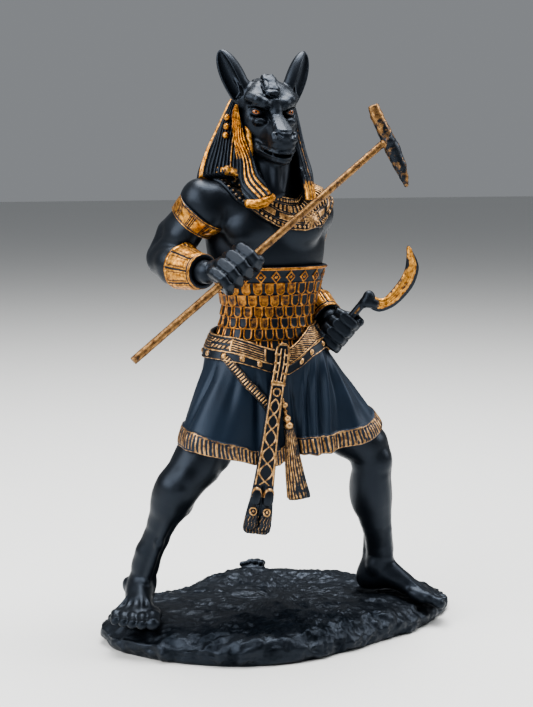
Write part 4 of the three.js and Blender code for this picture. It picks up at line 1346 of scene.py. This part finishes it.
def makeLeg(side):
    def field(p):
        return legField(p, legSettings[side], legSettings[side + "Muscles"], footSettings[side + "Foot"])

    skinPiece(side + "Leg", field, *legSettings[side + "Box"], legSettings["step"], satinResin)


makeLeg("right")
makeLeg("left")
print("legs done")


# Rock base: a low slab, fuller under his right foot and pointed under his left one

baseSettings = {
    "outline": ((91, 5), (77, -17), (61, -31), (45, -39), (22, -49), (-8, -58), (-35, -57), (-58, -47),
                (-77, -31), (-90, -12), (-89, 6), (-78, 23), (-60, 34), (-44, 38), (-24, 53), (-3, 58),
                (18, 48), (36, 40), (56, 30), (76, 20)),
    "size": (183.0, 116.0),
    "columns": 460,
    "topRows": 62,
    "sideRows": 12,
    "grain": 0.5,
}


def rockHeight(x, y, share):
    crown = 14.5 - 2.2 * share**2 - 5 * np.clip((share - 0.86) / 0.14, 0, 1) ** 2
    slope = -6 * smooth(x, 42, 92)
    lumps = 0.7 * np.sin(x * 0.21 + 1.3) * np.cos(y * 0.24) + 0.5 * np.sin(x * 0.11 - y * 0.17)
    footMound = 1.6 * np.exp(-(((x + 74) / 16) ** 2) - ((y + 12) / 16) ** 2)
    backRise = 4 * np.exp(-(((x + 2) / 26) ** 2) - ((y - 46) / 11) ** 2)
    leftRise = 3.4 * np.exp(-(((x - 38) / 24) ** 2) - ((y - 34) / 11) ** 2)
    return crown + (slope + lumps + footMound + backRise + leftRise) * (1 - 0.4 * share**4)


def makeBase():
    b = baseSettings
    loop = [(*xy, 0, 0) for xy in b["outline"]]
    whole = spline(loop[-2:] + loop + loop[:2], 40 * len(loop))[0][:, :2]
    angle = np.unwrap(np.arctan2(whole[:, 1], whole[:, 0]))
    order = np.argsort(angle)
    want = turns(fine(b["columns"]), angle.min() + 0.5)
    radius = np.interp(want, angle[order], np.hypot(whole[:, 0], whole[:, 1])[order])
    plan = np.stack([radius * np.cos(want), radius * np.sin(want)], 1)
    low, high = plan.min(0), plan.max(0)
    plan = (plan - (low + high) / 2) * np.array(b["size"]) / (high - low)
    side = np.linspace(0, 1, fine(b["sideRows"]))[:, None]
    top = np.linspace(1, 0.012, fine(b["topRows"]))[1:, None] ** 0.85
    rim = rockHeight(plan[:, 0], plan[:, 1], np.ones(len(plan)))[None]
    pinch = 1 - 0.045 * (1 - np.sin(np.pi * np.clip(side * 0.62 + 0.06, 0, 1))) ** 1.5
    sideRows = np.concatenate([plan[None] * pinch[..., None], (rim * side)[..., None]], 2)
    topPlan = plan[None] * top[..., None] * (1 - 0.045 * (1 - np.sin(np.pi * 0.68)) ** 1.5)
    topZ = rockHeight(topPlan[..., 0], topPlan[..., 1], top + 0 * topPlan[..., 0])
    grid = np.concatenate([sideRows, np.concatenate([topPlan, topZ[..., None]], 2)], 0)
    normals = outwardNormals(grid, (0, 0, 5.0))
    p = grid.reshape(-1, 3)
    stretched = p * np.array([0.55, 1.0, 1.6])
    rough = 0.42 * roughNoise(stretched, 7, 3, 3) + 0.5 * b["grain"] * roughNoise(p, 2.2, 2, 8)
    veins = np.abs(softNoise(stretched, 5.5, 21)) + 0.5 * np.abs(softNoise(stretched, 2.6, 22))
    rough -= 0.5 * bump(veins, 0, 0.12)
    # grit and flakes all over, broken by larger knocks along the rim
    flakes = softNoise(stretched + 40, 2.0, 52)
    rough += (0.62 * np.abs(flakes) + 0.45 * np.abs(softNoise(p, 1.25, 53)) + 0.5 * softNoise(p, 3.4, 56)
              - 0.3)
    outward = np.concatenate([side[:, 0] * 0 + 1, top[:, 0]])[:, None]
    brim = smooth(np.tile(outward, (1, grid.shape[1])).ravel(), 0.82, 0.97)
    rough += brim * (1.5 * softNoise(p, 11, 54) + 0.9 * roughNoise(p, 5, 3, 55))
    # a crusty scree spreads across the front middle
    scree = np.exp(-(((p[:, 0] + 18) / 46) ** 2) - ((p[:, 1] + 40) / 15) ** 2)
    scree = scree * smooth(softNoise(p, 12, 40), -0.5, 0.4)
    rough += 2.0 * scree * (np.abs(softNoise(p, 2.4, 33)) - 0.2) + 0.9 * scree * softNoise(p, 1.3, 35)
    standing = smooth(p[:, 2], 0.2, 2.0) * 0.8 + 0.2 * (p[:, 2] > 0.01)
    grid = grid + normals * (rough * standing).reshape(grid.shape[:2])[..., None]
    grid[..., 2] = np.maximum(grid[..., 2], 0)
    grid[0, :, 2] = 0
    for axis in (0, 1):
        grid[..., axis] = np.clip(grid[..., axis], -b["size"][axis] / 2, b["size"][axis] / 2)
    points, faces = closedGrid(grid)
    dust = np.clip(0.2 + 0.35 * roughNoise(points, 6, 3, 50)
                   + 0.5 * np.exp(-(((points[:, 0] + 18) / 50) ** 2) - ((points[:, 1] + 38) / 16) ** 2),
                   0, 0.6)
    return makeMesh("rockBase", points, faces, rockPaint, dust * (points[:, 2] > 0.5))


def makeCrumbs():
    rng = np.random.default_rng(4)
    stones = [(x, 50.2 + rng.uniform(-1.5, 1.5), z, rng.uniform(1.1, 2.0))
              for x, z in zip(np.linspace(-4.5, 6.0, 11), 16.6 + 1.6 * np.sin(np.linspace(0.3, 2.9, 11)))]

    def field(p):
        d = None
        for x, y, z, r in stones:
            stone = lump(p, (x, y, z), (r * 1.1, r, r * 0.9))
            d = stone if d is None else melt(d, stone, 0.3)
        d = melt(d, lump(p, (0.8, 50, 14.6), (6.8, 3.5, 2.6)), 0.6)
        return d + 0.12 * softNoise(p, 1.0, 6)

    skinPiece("looseStones", field, (-12, 44, 8), (13, 57, 23), 0.45, rockPaint)


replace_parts(makeBase(), "rock_base")
makeCrumbs()
print("base done")


# Hair: a curtain of strands behind the ears, two lappets over the collar, gold edging and beads

hairSettings = {
    # horseshoe round the head at each height, from his right front edge round the back to the left one
    "levels": (
        (266, ((-15, -7), (-16.5, -5), (-16, -1), (-11, 1.5), (-6, -1), (-5, -5), (-7, -7))),
        (261.5, ((-19.5, -8), (-24.2, -6.5), (-20, 0.5), (-11, 4.0), (-0.5, 1), (0.8, -5), (-2, -7))),
        (255, ((-23, -10), (-28.1, -7.5), (-23.4, 1.5), (-11, 6), (3.2, 2), (4.4, -6), (1, -10))),
        (245, ((-24.5, -13), (-33.0, -9), (-27.5, 1.5), (-11, 8), (6.5, 3.0), (6.6, -7), (3.0, -13))),
        (235, ((-25.0, -15.5), (-38.2, -9.5), (-32, 3.0), (-10.5, 10.5), (8.5, 4), (7.8, -10), (4.5, -17))),
        (224, ((-26.0, -17), (-42.3, -9), (-36.5, 4), (-10, 12.5), (11.2, 5.5), (10.6, -13), (6.0, -21))),
        (198, ((-27.0, -18), (-43.5, -6), (-38, 7), (-10, 16), (13.0, 8), (12.5, -14), (8.0, -24))),
    ),
    "hem": ((0, 224.5), (0.14, 223), (0.3, 214), (0.42, 202), (0.55, 199), (0.68, 203), (0.86, 211.5),
            (1, 211)),
    "strands": 64,
    "depth": 0.95,
    "thick": 3.2,
    "backColumns": 36,
    "lappetRight": ((-26.4, -12.6, 254.6, 0.9), (-26.9, -13.4, 251.0, 1.7), (-27.0, -15.0, 246.6, 2.3),
                    (-26.4, -17.0, 240, 2.9), (-25.4, -19.5, 233.6, 3.5), (-24.6, -22.0, 227.2, 4.3),
                    (-23.6, -25.5, 220.9, 5.3), (-22.0, -29.0, 215.0, 5.9), (-20.6, -31.2, 211.6, 6.1)),
    "lappetLeft": ((1.6, -11, 249.5, 1.8), (2.4, -12.6, 243.0, 2.3), (3.2, -14.6, 236.0, 2.9),
                   (4.2, -18.0, 229.0, 3.3), (5.0, -21.6, 221.5, 3.5), (5.2, -25.0, 214.5, 3.3),
                   (5.0, -26.4, 211.0, 3.0)),
    "goldCurl": ((-23.2, -14.9, 249.0, 0.5), (-22.6, -16.6, 245, 1.2), (-22.2, -18.4, 240.5, 1.4),
                 (-21.9, -20.0, 235.5, 1.3), (-21.8, -21.4, 231.5, 0.5)),
    "beads": ((-30.7, -11.2, 249.4), (-31.2, -12.0, 245.2), (-31.8, -12.8, 241.2)),
    "rolledEnd": ((-26.3, -30.9, 210.2, 2.0), (-23.0, -32.2, 210.0, 2.3), (-19.4, -32.6, 211.0, 2.3),
                  (-15.6, -31.9, 213.2, 1.9)),
    "knot": ((-38.4, -8.0, 223.2, 1.7), (-35.0, -11.2, 225.2, 2.1), (-31.0, -13.4, 225.2, 2.2),
             (-26.8, -15.6, 224.0, 2.0)),
}


def hairRelief(across, run, seed):
    # strands side by side that wander a little; across counts strands and run is in mm
    wander = 0.35 * np.sin(run * 0.11 + seed) + 0.12 * np.sin(run * 0.26 + across * 0.7 + seed)
    phase = across + wander
    ridge = np.abs(np.sin(np.pi * phase)) ** 0.7
    which = np.floor(phase)
    pick = (np.sin(which * 12.9898 + seed * 7.1) * 43758.5) % 1
    hair = 0.5 + 0.5 * np.sin(2 * np.pi * phase * 3.0)
    return ridge, pick, hair


def makeHair():
    h = hairSettings
    zs = np.array([z for z, _ in h["levels"]], float)
    outer = np.stack([spline([(*xy, 0) for xy in ring], fine(376))[0][:, :2] for _, ring in h["levels"]])
    columns = outer.shape[1]
    t = np.linspace(0, 1, columns)
    hem = np.interp(t, *zip(*h["hem"]))
    share = np.linspace(0, 1, fine(84))[:, None]
    z = zs[0] + (hem - zs[0]) * share
    x, y = (np.stack([np.interp(-z[:, c], -zs, outer[:, c, k]) for c in range(columns)], 1) for k in (0, 1))
    base = np.stack([x, y, z], 2)
    for _ in range(fine(20)):
        base[1:-1] = (base[:-2] + base[1:-1] + base[2:]) / 3
    normals = outwardNormals(base, (-11, -8, 0), loop=False, level=True)
    ridge, pick, hair = hairRelief(t[None] * h["strands"] + 0 * z, zs[0] - z, 1.0)
    rise = h["depth"] * (ridge - 0.5) + 0.10 * hair + 0.3 * (pick - 0.5)
    edge = line(t[None] - 0.165, 0.011, 0.004)
    edge = edge * (1 - smooth(z, 256, 260))
    rise += 0.7 * edge
    gold = np.maximum(edge * 0.95, (pick > 0.86) * smooth(ridge, 0.55, 0.9) * 0.55)
    gold = np.maximum(gold, smooth(ridge, 0.85, 1.0) * 0.18)
    outerFace = base + normals * rise[..., None]
    innerFace = base - normals * h["thick"]
    few = np.linspace(columns - 1, 0, h["backColumns"]).astype(int)
    grid = np.concatenate([outerFace, innerFace[:, few]], 1)
    paint = np.concatenate([gold, np.zeros((len(gold), len(few)))], 1)
    return gridPiece("hairCurtain", grid, satinResin, paint)


def goldenLock(s, v, half):
    across = v / half
    ridge, pick, hair = hairRelief(across * 2.6 + 5 + 0.45 * np.sin(s * 0.3), s, 2.0)
    upper = 1 - smooth(s, 19, 30)
    gold = upper * smooth(ridge, 0.12, 0.5) * smooth(across, -0.98, -0.7)
    gold = np.maximum(gold, (pick > 0.3) * smooth(ridge, 0.6, 0.95) * 0.8)
    return 1.15 * ridge + 0.22 * hair + 0.3 * pick, gold


def darkLock(s, v, half):
    ridge, pick, hair = hairRelief(v / half * 2.4 + 9, s, 3.4)
    tips = smooth(s, 29, 37)
    gold = np.maximum(tips * smooth(ridge, 0.3, 0.8) * 0.95, (pick > 0.75) * smooth(ridge, 0.7, 1.0) * 0.45)
    return ridge + 0.2 * hair, gold


def curlLock(s, v, _):
    curl = 0.5 + 0.5 * np.sin(s * 1.3 + v * 1.2)
    return 0.4 + 0.45 * curl, 0.5 + 0.45 * curl


def makeLocks():
    h = hairSettings
    for name, facing, relief, thick, step, crown in (
        ("lappetRight", (-0.35, -0.93, 0.1), goldenLock, 2.0, 0.34, 1.5),
        ("lappetLeft", (0.55, -0.83, 0.1), darkLock, 2.0, 0.34, 1.3),
        ("goldCurl", (-0.5, -0.86, 0.0), curlLock, 1.2, 0.3, 0.5),
    ):
        strip(name, h[name], facing, relief, warmRubbed, thick, step, crown)

    def endField(p):
        end = strand(p, h["rolledEnd"], 0.6)
        hollow = [(x, y - 1.6, z - 1.2, r * 0.45) for x, y, z, r in h["rolledEnd"][:-1]]
        d = carve(end, strand(p, hollow, 0.5), 0.4) + 0.16 * softNoise(p, 1.6, 9)
        for bead in h["beads"]:
            d = np.minimum(d, lump(p, bead, (1.5, 1.5, 1.6)))
        return d

    def knotField(p):
        return strand(p, h["knot"], 0.6) + 0.5 * np.abs(softNoise(p, 1.8, 17)) - 0.15

    skinPiece("lappetEndAndBeads", endField, (-36, -38, 205), (-10, -6, 254), 0.4, warmRubbed,
              lambda points: 0.92)
    skinPiece("goldRoll", knotField, (-43, -20, 218), (-22, -4, 230), 0.4, warmRubbed,
              lambda points: 0.55 + 0.5 * softNoise(points, 1.4, 3))


makeHair()
makeLocks()
print("hair done")


# Broad collar of beads, bars and panels, with a winged disc on his left side

collarSettings = {
    "centre": (-9.5, -8.0, 196.0),
    # angle from the front towards his left, then x, y, z of the outer and the inner edge
    "outer": ((-180, -9.5, 17, 212), (-135, -30, 10, 219), (-100, -38.0, -3, 223.5),
              (-84, -37.6, -11.5, 221.2), (-72, -34.6, -16.0, 218.9), (-58, -32.2, -19.4, 215.3),
              (-48, -30.0, -21.5, 211.7), (-30, -23.6, -24.2, 207.1), (-18, -18.1, -25.1, 203.2),
              (-5, -11.4, -24.8, 199.8), (14, -4.5, -25.2, 197.4), (34, 2.6, -26, 196.7),
              (58, 11.0, -23.5, 197.8), (76, 16.1, -17.6, 201.2), (95, 18.9, -8, 202.6),
              (135, 10, 9, 208), (180, -9.5, 17, 212)),
    "inner": ((-180, -9.5, 5, 224), (-135, -19, 2, 226), (-90, -22, -9, 226), (-60, -20.5, -17, 222.5),
              (-35, -16.2, -22, 217.6), (-12, -12.0, -23.5, 214.6), (0, -8.5, -24, 213.4),
              (14, -4.5, -23.5, 212.6), (38, 1.0, -21, 212.4), (62, 3.4, -16, 214.5),
              (90, 4.4, -9, 217.5), (135, 1, 2, 221), (180, -9.5, 5, 224)),
    "beadPitch": 2.05,
    "barPitch": 2.35,
    "panelPitch": 8.2,
    "disc": (6.2, -25.2, 202.6),
    "thick": 1.3,
}


def collarBase(p):
    # chest, shoulders and neck as one surface for the collar to lie on
    return melt(torsoField(p), taper(p, (-10, -13.2, 236), (-10, -12.2, 208), 9.6, 11.8), 4)


def beadRow(run, pitch, off, radius):
    x = (run / pitch % 1 - 0.5) * pitch
    return np.sqrt(np.clip(1 - (x / radius) ** 2 - (off / radius) ** 2, 0, 1))


def collarRelief(run, depth, wide):
    # depth is in mm from the outer edge, inward from the inner one, and wide is the collar's width there
    c = collarSettings
    inward = wide - depth
    rails = np.maximum.reduce([line(depth - 0.5, 0.42), line(depth - 3.25, 0.24), line(depth - 7.6, 0.24),
                               line(inward - 0.45, 0.4), line(inward - 3.3, 0.24)])
    beads = np.maximum(beadRow(run, c["beadPitch"], depth - 1.9, 0.86) * (inward > 2.4),
                       beadRow(run, c["beadPitch"] * 0.92, inward - 1.9, 0.84) * (depth > 3.2))
    bars = line((run % c["barPitch"]) - c["barPitch"] / 2, 0.62) * (depth > 8.3) * (inward > 4.0)
    panels = line((run % c["panelPitch"]) - c["panelPitch"] / 2, 3.2, 0.25)
    panels = panels * line(depth - 5.4, 1.4, 0.2) * (inward > 3.8)
    height = np.maximum.reduce([0.5 * rails, 0.95 * beads, 0.7 * bars, 0.5 * panels])
    gold = np.maximum.reduce([0.62 * rails, smooth(beads, 0.35, 0.8) * 0.85, 0.8 * bars, 0.78 * panels])
    return height, gold


def makeCollar():
    c = collarSettings
    columns, rows = fine(610), fine(50)
    theta = np.linspace(-180, 180, columns, endpoint=False)
    rings = []
    for key in ("outer", "inner"):
        table = np.array(c[key], float)
        rings.append(np.stack([np.interp(theta, table[:, 0], table[:, k]) for k in (1, 2, 3)], 1))
    share = np.linspace(0, 1, rows)[:, None, None]
    rough = calmed(rings[0][None] * (1 - share) + rings[1][None] * share, 6)
    # the rows come down on to the body slantwise from above, and flatter at the neck
    turn = np.radians(theta)[None]
    tilt = (0.12 + 0.85 * np.abs(np.sin(turn)) ** 1.5) * (1 - 0.5 * share[..., 0])
    way = unitRows(np.stack([0.55 * np.sin(turn) + 0 * tilt, -0.8 * np.cos(turn) + 0 * tilt, tilt], 2))
    base = landOn(collarBase, (rough + way * 8).reshape(-1, 3), (rough - way * 14).reshape(-1, 3), 0.75, 40)
    base = calmed(base.reshape(rough.shape), 3)
    normals = outwardNormals(base, c["centre"])
    step = np.linalg.norm(np.diff(base, axis=0), axis=2)
    depth = np.concatenate([np.zeros((1, columns)), np.cumsum(step, 0)], 0)
    run = np.tile(runAlong(base)[0][int(rows * 0.35)], (rows, 1))
    height, gold = collarRelief(run, depth, depth[-1:])
    # the disc: rays round a domed middle
    off = base - np.array(c["disc"])
    disc = np.linalg.norm(off, axis=2)
    around = np.arctan2(off[..., 2], off[..., 0])
    rays = 0.5 + 0.5 * np.cos(around * 14)
    inDisc = smooth(4.4 - disc, 0, 0.4)
    dome = 0.5 + 0.35 * rays * (disc > 1.6) + 0.5 * np.sqrt(np.clip(1 - (disc / 1.7) ** 2, 0, 1))
    dome += 0.3 * line(disc - 4.0, 0.35)
    height = height * (1 - inDisc) + dome * inDisc
    gold = gold * (1 - inDisc) + (0.40 + 0.45 * rays) * inDisc
    # the gold is painted strong on the breast, a painted highlight where the light catches it, and fades to
    # black on the shoulders and towards the back as painted shade
    paintedBreastLight = smooth(base[..., 0], -27, -14) * (1 - 0.5 * smooth(base[..., 1], -12, 0))
    gold = gold * (0.48 + 0.44 * paintedBreastLight)
    return wrapped("broadCollar", base, normals, height, gold, goldRubbed, c["thick"])


# Armlet and bracelets: bands wrapped round the limbs

bandSettings = {
    # each lies between two points on the limb's axis, lift mm off the skin, and reach limits its radius
    "armlet": {"start": (-41.6, -9.2, 206.6), "end": (-45.9, -5.4, 199.8), "lift": 0.9, "panels": 9,
               "reach": (9.6, 12.2)},
    "rightBracelet": {"start": (-53.2, -12.6, 181.3), "end": (-47.4, -29.0, 179.8), "lift": 1.3,
                      "panels": 8, "reach": (6.6, 9.6)},
    "leftBracelet": {"start": (17.6, 3.0, 158.6), "end": (20.4, -6.6, 153.0), "lift": 1.2, "panels": 8,
                     "reach": (6.4, 8.8)},
    "leftArmlet": {"start": (13.4, 2.0, 196.0), "end": (13.8, 7.6, 189.6), "lift": 0.9, "panels": 9,
                   "reach": (9.2, 11.6)},
}


def armletRelief(run, total, depth, wide, panels):
    edge = np.minimum(depth, wide - depth)
    pitch = total / panels
    x = np.abs((run / pitch) % 1 - 0.5) * pitch
    rails = np.maximum(line(edge - 0.35, 0.3), line(edge - 1.25, 0.2))
    bars = line(x - pitch / 2 + 0.55, 0.22, 0.1) + line(x - pitch / 2 + 1.25, 0.18, 0.1)
    inner = smooth(edge, 1.5, 1.8)
    panel = inner * (1 - np.clip(bars, 0, 1))
    return 0.35 + 0.45 * rails + 0.4 * panel, np.maximum(rails * 0.75, panel * 0.9)


def braceletRelief(run, total, depth, wide, panels):
    # long raised panels lie along the arm, each with its own rim
    pitch = total / panels
    x = pitch / 2 - np.abs((run / pitch) % 1 - 0.5) * pitch
    edge = np.minimum(depth - 0.9, wide - depth - 2.8)
    inset = np.minimum(x - 0.35, edge)
    rim = line(inset - 0.45, 0.4, 0.15)
    panel = smooth(inset, 1.0, 1.25)
    ends = np.maximum(line(depth - 0.45, 0.4),
                      np.maximum(line(depth - wide + 0.45, 0.4), line(depth - wide + 1.7, 0.4)))
    return 0.3 + 0.55 * rim + 0.45 * panel + 0.5 * ends, np.clip(rim * 0.85 + panel + ends * 0.8, 0, 1)


def makeBand(name, field, relief, flare=0.0):
    b = bandSettings[name]
    start, end = np.array(b["start"]), np.array(b["end"])
    along = end - start
    wide = np.linalg.norm(along)
    along = along / wide
    sideways = unit(np.cross(along, (0, 0, 1)))
    upward = np.cross(sideways, along)
    rows = fine(wide * 2.8) + 2
    share = np.linspace(0, 1, rows)[:, None]
    turn = turns(fine(250))[None]
    way = sideways * np.cos(turn)[..., None] + upward * np.sin(turn)[..., None]
    axis = start + along * wide * share[..., None] + 0 * way
    away = axis + way * 13.5
    base = landOn(field, away.reshape(-1, 3), axis.reshape(-1, 3), b["lift"], 40).reshape(axis.shape)
    reach = length((base - axis).reshape(-1, 3)).reshape(rows, -1, 1)
    base = calmed(axis + (base - axis) / reach * np.clip(reach, *b["reach"]), 14)
    base = base + (base - axis) * (flare * (share - 0.5) ** 2 * 4)[..., None]
    normals = outwardNormals(base, axis)
    run, total = (np.tile(v[rows // 2], (rows, 1)) for v in runAlong(base))
    height, gold = relief(run, total, share * wide + 0 * run, wide, b["panels"])
    return wrapped(name, base, normals, height, gold, warmRubbed, 1.4)


makeCollar()
makeBand("armlet", rightArmField, armletRelief)
makeBand("rightBracelet", rightArmField, braceletRelief, 0.08)
makeBand("leftBracelet", leftArmField, braceletRelief, 0.08)
makeBand("leftArmlet", leftArmField, armletRelief)
print("collar and bands done")


# Adze-headed staff and sickle

staffSettings = {
    "low": (-85.0, -50.5, 143.5),
    "top": (37.5, -38.5, 238.5),
    "radius": 1.72,
    "head": ((31.0, -38.0, 255.2, 2.5), (33.0, -38.2, 250.0, 2.9), (36.6, -38.5, 243.0, 3.1),
             (40.8, -38.9, 234.8, 3.6), (44.2, -39.3, 227.6, 3.1), (46.4, -39.6, 222.0, 2.0),
             (47.5, -39.8, 218.3, 1.1)),
}


def fromEnd(p, low, top):
    # offsets from the lower end of a rod, how far along it they lie, and its direction
    offset = p - np.array(low)
    along = unit(np.array(top) - np.array(low))
    return offset, offset @ along, along


def staffField(p):
    s = staffSettings
    offset, t, along = fromEnd(p, s["low"], s["top"])
    around = np.arctan2(offset @ np.cross(along, (0, 1, 0)), offset[:, 1] - t * along[1])
    grain = 0.09 * np.sin(12 * around + t * 0.05)
    rod = taper(p, s["low"], s["top"], s["radius"] + 0.1, s["radius"] - 0.1)
    rod = rod + grain * smooth(softNoise(p, 5, 3), -0.6, 0.4)
    rod = np.maximum(rod, -t - 0.6)
    blade = strand(flattened(p, (40, -38.8, 236), (0.02, 1, 0.0), 0.8), s["head"], 0.8)
    # square poll at the upper end, a shoulder where the staff is let in
    up = unit((31.0 - 36.6, 0.5, 255.2 - 243.0))
    blade = np.maximum(blade, (p - np.array([31.0, -38, 254.8])) @ up)
    blade = blade + 0.10 * softNoise(p, 1.5, 61) + 0.06 * softNoise(p, 0.8, 62)
    boss = lump(p, (38.6, -40.6, 238.6), (2.6, 1.6, 2.2))
    return melt(melt(rod, blade, 0.7), boss, 0.6)


def staffPaint(points):
    # bright strokes along the rod; on the adze head the gold is a painted highlight on the faces turned to
    # the front, fading to painted shade towards its back, with random patches of gold
    offset, t, along = fromEnd(points, staffSettings["low"], staffSettings["top"])
    onHead = smooth(points[:, 0], 30, 33) * (length(offset - t[:, None] * along) > 2.2)
    normal = slopeOf(staffField, points, 0.3)
    normal /= np.maximum(length(normal)[:, None], 1e-6)
    # faces turned to the front carry the painted highlight
    front = smooth(-normal[:, 1], -0.2, 0.7)
    streak = softNoise(np.stack([t * 0.16, points[:, 1] * 1.4, points[:, 2] * 0.4], 1), 1.0, 13)
    rod = 0.76 + 0.32 * streak
    poll = smooth(points[:, 2], 236, 246)
    patch = roughNoise(points, 3.0, 3, 19)
    tip = 1 - smooth(points[:, 2], 219, 231)
    blade = np.clip(front * (0.25 + 0.45 * poll) + 0.55 * patch + 0.35 * tip * front, 0, 0.95)
    return rod * (1 - onHead) + blade * onHead


sickleSettings = {
    "handle": ((17.9, -12.6, 139.8), (36.8, -19.6, 164.4)),
    "handleRadius": 2.15,
    "inner": ((36.2, 165.6), (39.6, 165.0), (43.9, 163.9), (47.6, 167.0), (52.2, 173.2), (54.3, 178.5),
              (54.5, 184.3), (54.2, 188.0), (54.9, 189.4)),
    "outer": ((36.0, 160.6), (40.7, 157.7), (44.9, 157.9), (50.1, 160.3), (54.9, 164.7), (59.0, 170.4),
              (60.9, 177.4), (59.8, 182.0), (57.0, 186.6)),
    "bladeY": (-20.0, -26.0),
}


def makeSickle():
    s = sickleSettings
    inner, outer = (spline([(x, 0, z) for x, z in s[key]], fine(150))[0] for key in ("inner", "outer"))
    share = np.linspace(0, 1, len(inner))[:, None]
    w = np.linspace(0, 1, fine(28))[None]
    plane = inner[:, None] * (1 - w[..., None]) + outer[:, None] * w[..., None]
    y = s["bladeY"][0] + (s["bladeY"][1] - s["bladeY"][0]) * share + 0 * w
    # a lens section with a ridge, thick at the inner edge and thin at the cutting edge
    half = 0.25 + 1.35 * np.sin(np.pi * np.clip(w, 0, 1) ** 0.7) * (1 - 0.35 * share)
    groove = 0.35 * bump(w, 0.36, 0.07) - 0.3 * bump(w, 0.52, 0.06)
    front = plane.copy()
    front[..., 1] = y - half + groove
    back = plane[:, ::-1].copy()
    back[..., 1] = (y + half)[:, ::-1]
    # gold on the ridge and the bevel, dark at the cutting edge
    bright = np.clip(0.42 + 0.9 * bump(w, 0.30, 0.13) + 0.75 * bump(w, 0.62, 0.10), 0, 1)
    bright = bright * (1 - 0.9 * smooth(w, 0.74, 0.86)) + 0 * share
    bright = bright + 0.25 * roughNoise(plane.reshape(-1, 3), 5, 3, 5).reshape(bright.shape)
    # the back face carries less gold than the front, a painted shade on the side turned away from the light
    return gridPiece("sickleBlade", np.concatenate([front, back], 1), bladeGold,
                     np.concatenate([bright, 0.6 * bright[:, ::-1]], 1))


def makeHandle():
    s = sickleSettings

    def flatwise(p):
        # how far points lie from the handle's middle plane, and how far along it
        offset, t, along = fromEnd(p, *s["handle"])
        return offset @ unit(np.cross(along, (0.3, 0.95, 0))), t

    def field(p):
        d = taper(p, *s["handle"], s["handleRadius"], s["handleRadius"] * 0.96)
        d = np.maximum(d, np.abs(flatwise(p)[0]) - 1.85)
        d = melt(d, lump(p, (37.4, -20.0, 164.4), (3.0, 2.6, 3.4)), 0.7)
        d = melt(d, taper(p, (35.8, -19.8, 162.0), (40.5, -20.6, 161.4), 2.6, 2.4), 1.2)
        pommel = lump(p, (18.9, -13.2, 140.9), (2.6, 2.4, 2.3))
        return melt(d, pommel, 0.3)

    def paint(points):
        off, t = flatwise(points)
        gold = np.maximum(0.9 * (t < 3.0),
                          line(off, 0.45) * line(t - 24.0, 2.0) * 0.9 * (points[:, 1] < -16))
        return np.maximum(gold, 0.35 * smooth(points[:, 0], 38.5, 41))

    skinPiece("sickleHandle", field, (13, -26, 134), (46, -8, 171), 0.42, toolPaint, paint)


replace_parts(skinPiece("adzeStaff", staffField, (-90, -56, 138), (52, -32, 260), 0.54, toolPaint,
                      staffPaint), "adze_staff")
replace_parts(makeSickle(), "sickle")
makeHandle()
print("tools done")
# Camera, light and floor

cameraSettings = {"lens": 75.4, "place": (-0.2278, -0.6772, 0.235), "heading": (0.309, 0.951),
                  "pitch": 7.87}
pitch = math.radians(cameraSettings["pitch"])
look = Vector([*(share * math.cos(pitch) for share in cameraSettings["heading"]), -math.sin(pitch)])
camera = bpy.data.objects.new("photoCamera", bpy.data.cameras.new("photoCamera"))
camera.data.lens = cameraSettings["lens"]
camera.data.sensor_width = 36
camera.location = cameraSettings["place"]
camera.rotation_euler = look.to_track_quat("-Z", "Y").to_euler()
bpy.context.scene.collection.objects.link(camera)
bpy.context.scene.camera = camera


def softbox(name, place, aim, size, power):
    light = bpy.data.objects.new(name, bpy.data.lights.new(name, "AREA"))
    light.data.shape = "RECTANGLE"
    light.data.size, light.data.size_y = size
    light.data.energy = power
    light.location = place
    light.rotation_euler = (Vector(aim) - Vector(place)).to_track_quat("-Z", "Y").to_euler()
    bpy.context.scene.collection.objects.link(light)


# place and aim in metres, size in metres, power in watts
softbox("topLight", (0.12, 0.10, 1.15), (0, 0, 0.1), (0.9, 0.7), 24)
softbox("keyLight", (-0.95, -0.32, 0.78), (0, 0, 0.17), (1.2, 1.0), 20)
softbox("rightLight", (0.95, -0.25, 0.70), (0, 0, 0.15), (0.5, 0.6), 6)
world = bpy.data.worlds.new("studio")
world.use_nodes = True
background = world.node_tree.nodes["Background"]
background.inputs["Color"].default_value = srgb("#dfe3e8")
background.inputs["Strength"].default_value = 0.3
bpy.context.scene.world = world


def makeFloor():
    material = bpy.data.materials.new("paleStudioFloor")
    material.use_nodes = True
    shader = material.node_tree.nodes["Principled BSDF"]
    shader.inputs["Base Color"].default_value = srgb("#dcdcda")
    shader.inputs["Roughness"].default_value = 0.7
    mesh = bpy.data.meshes.new("floor")
    far = 6.0
    mesh.from_pydata([(-far, -far, 0), (far, -far, 0), (far, far, 0), (-far, far, 0)], [], [(0, 1, 2, 3)])
    mesh.materials.append(material)
    floor = bpy.data.objects.new("floor", mesh)
    bpy.context.scene.collection.objects.link(floor)


makeFloor()
bpy.context.scene.view_settings.view_transform = "AgX"
bpy.context.scene.view_settings.look = "AgX - Medium High Contrast"
print("stage set")
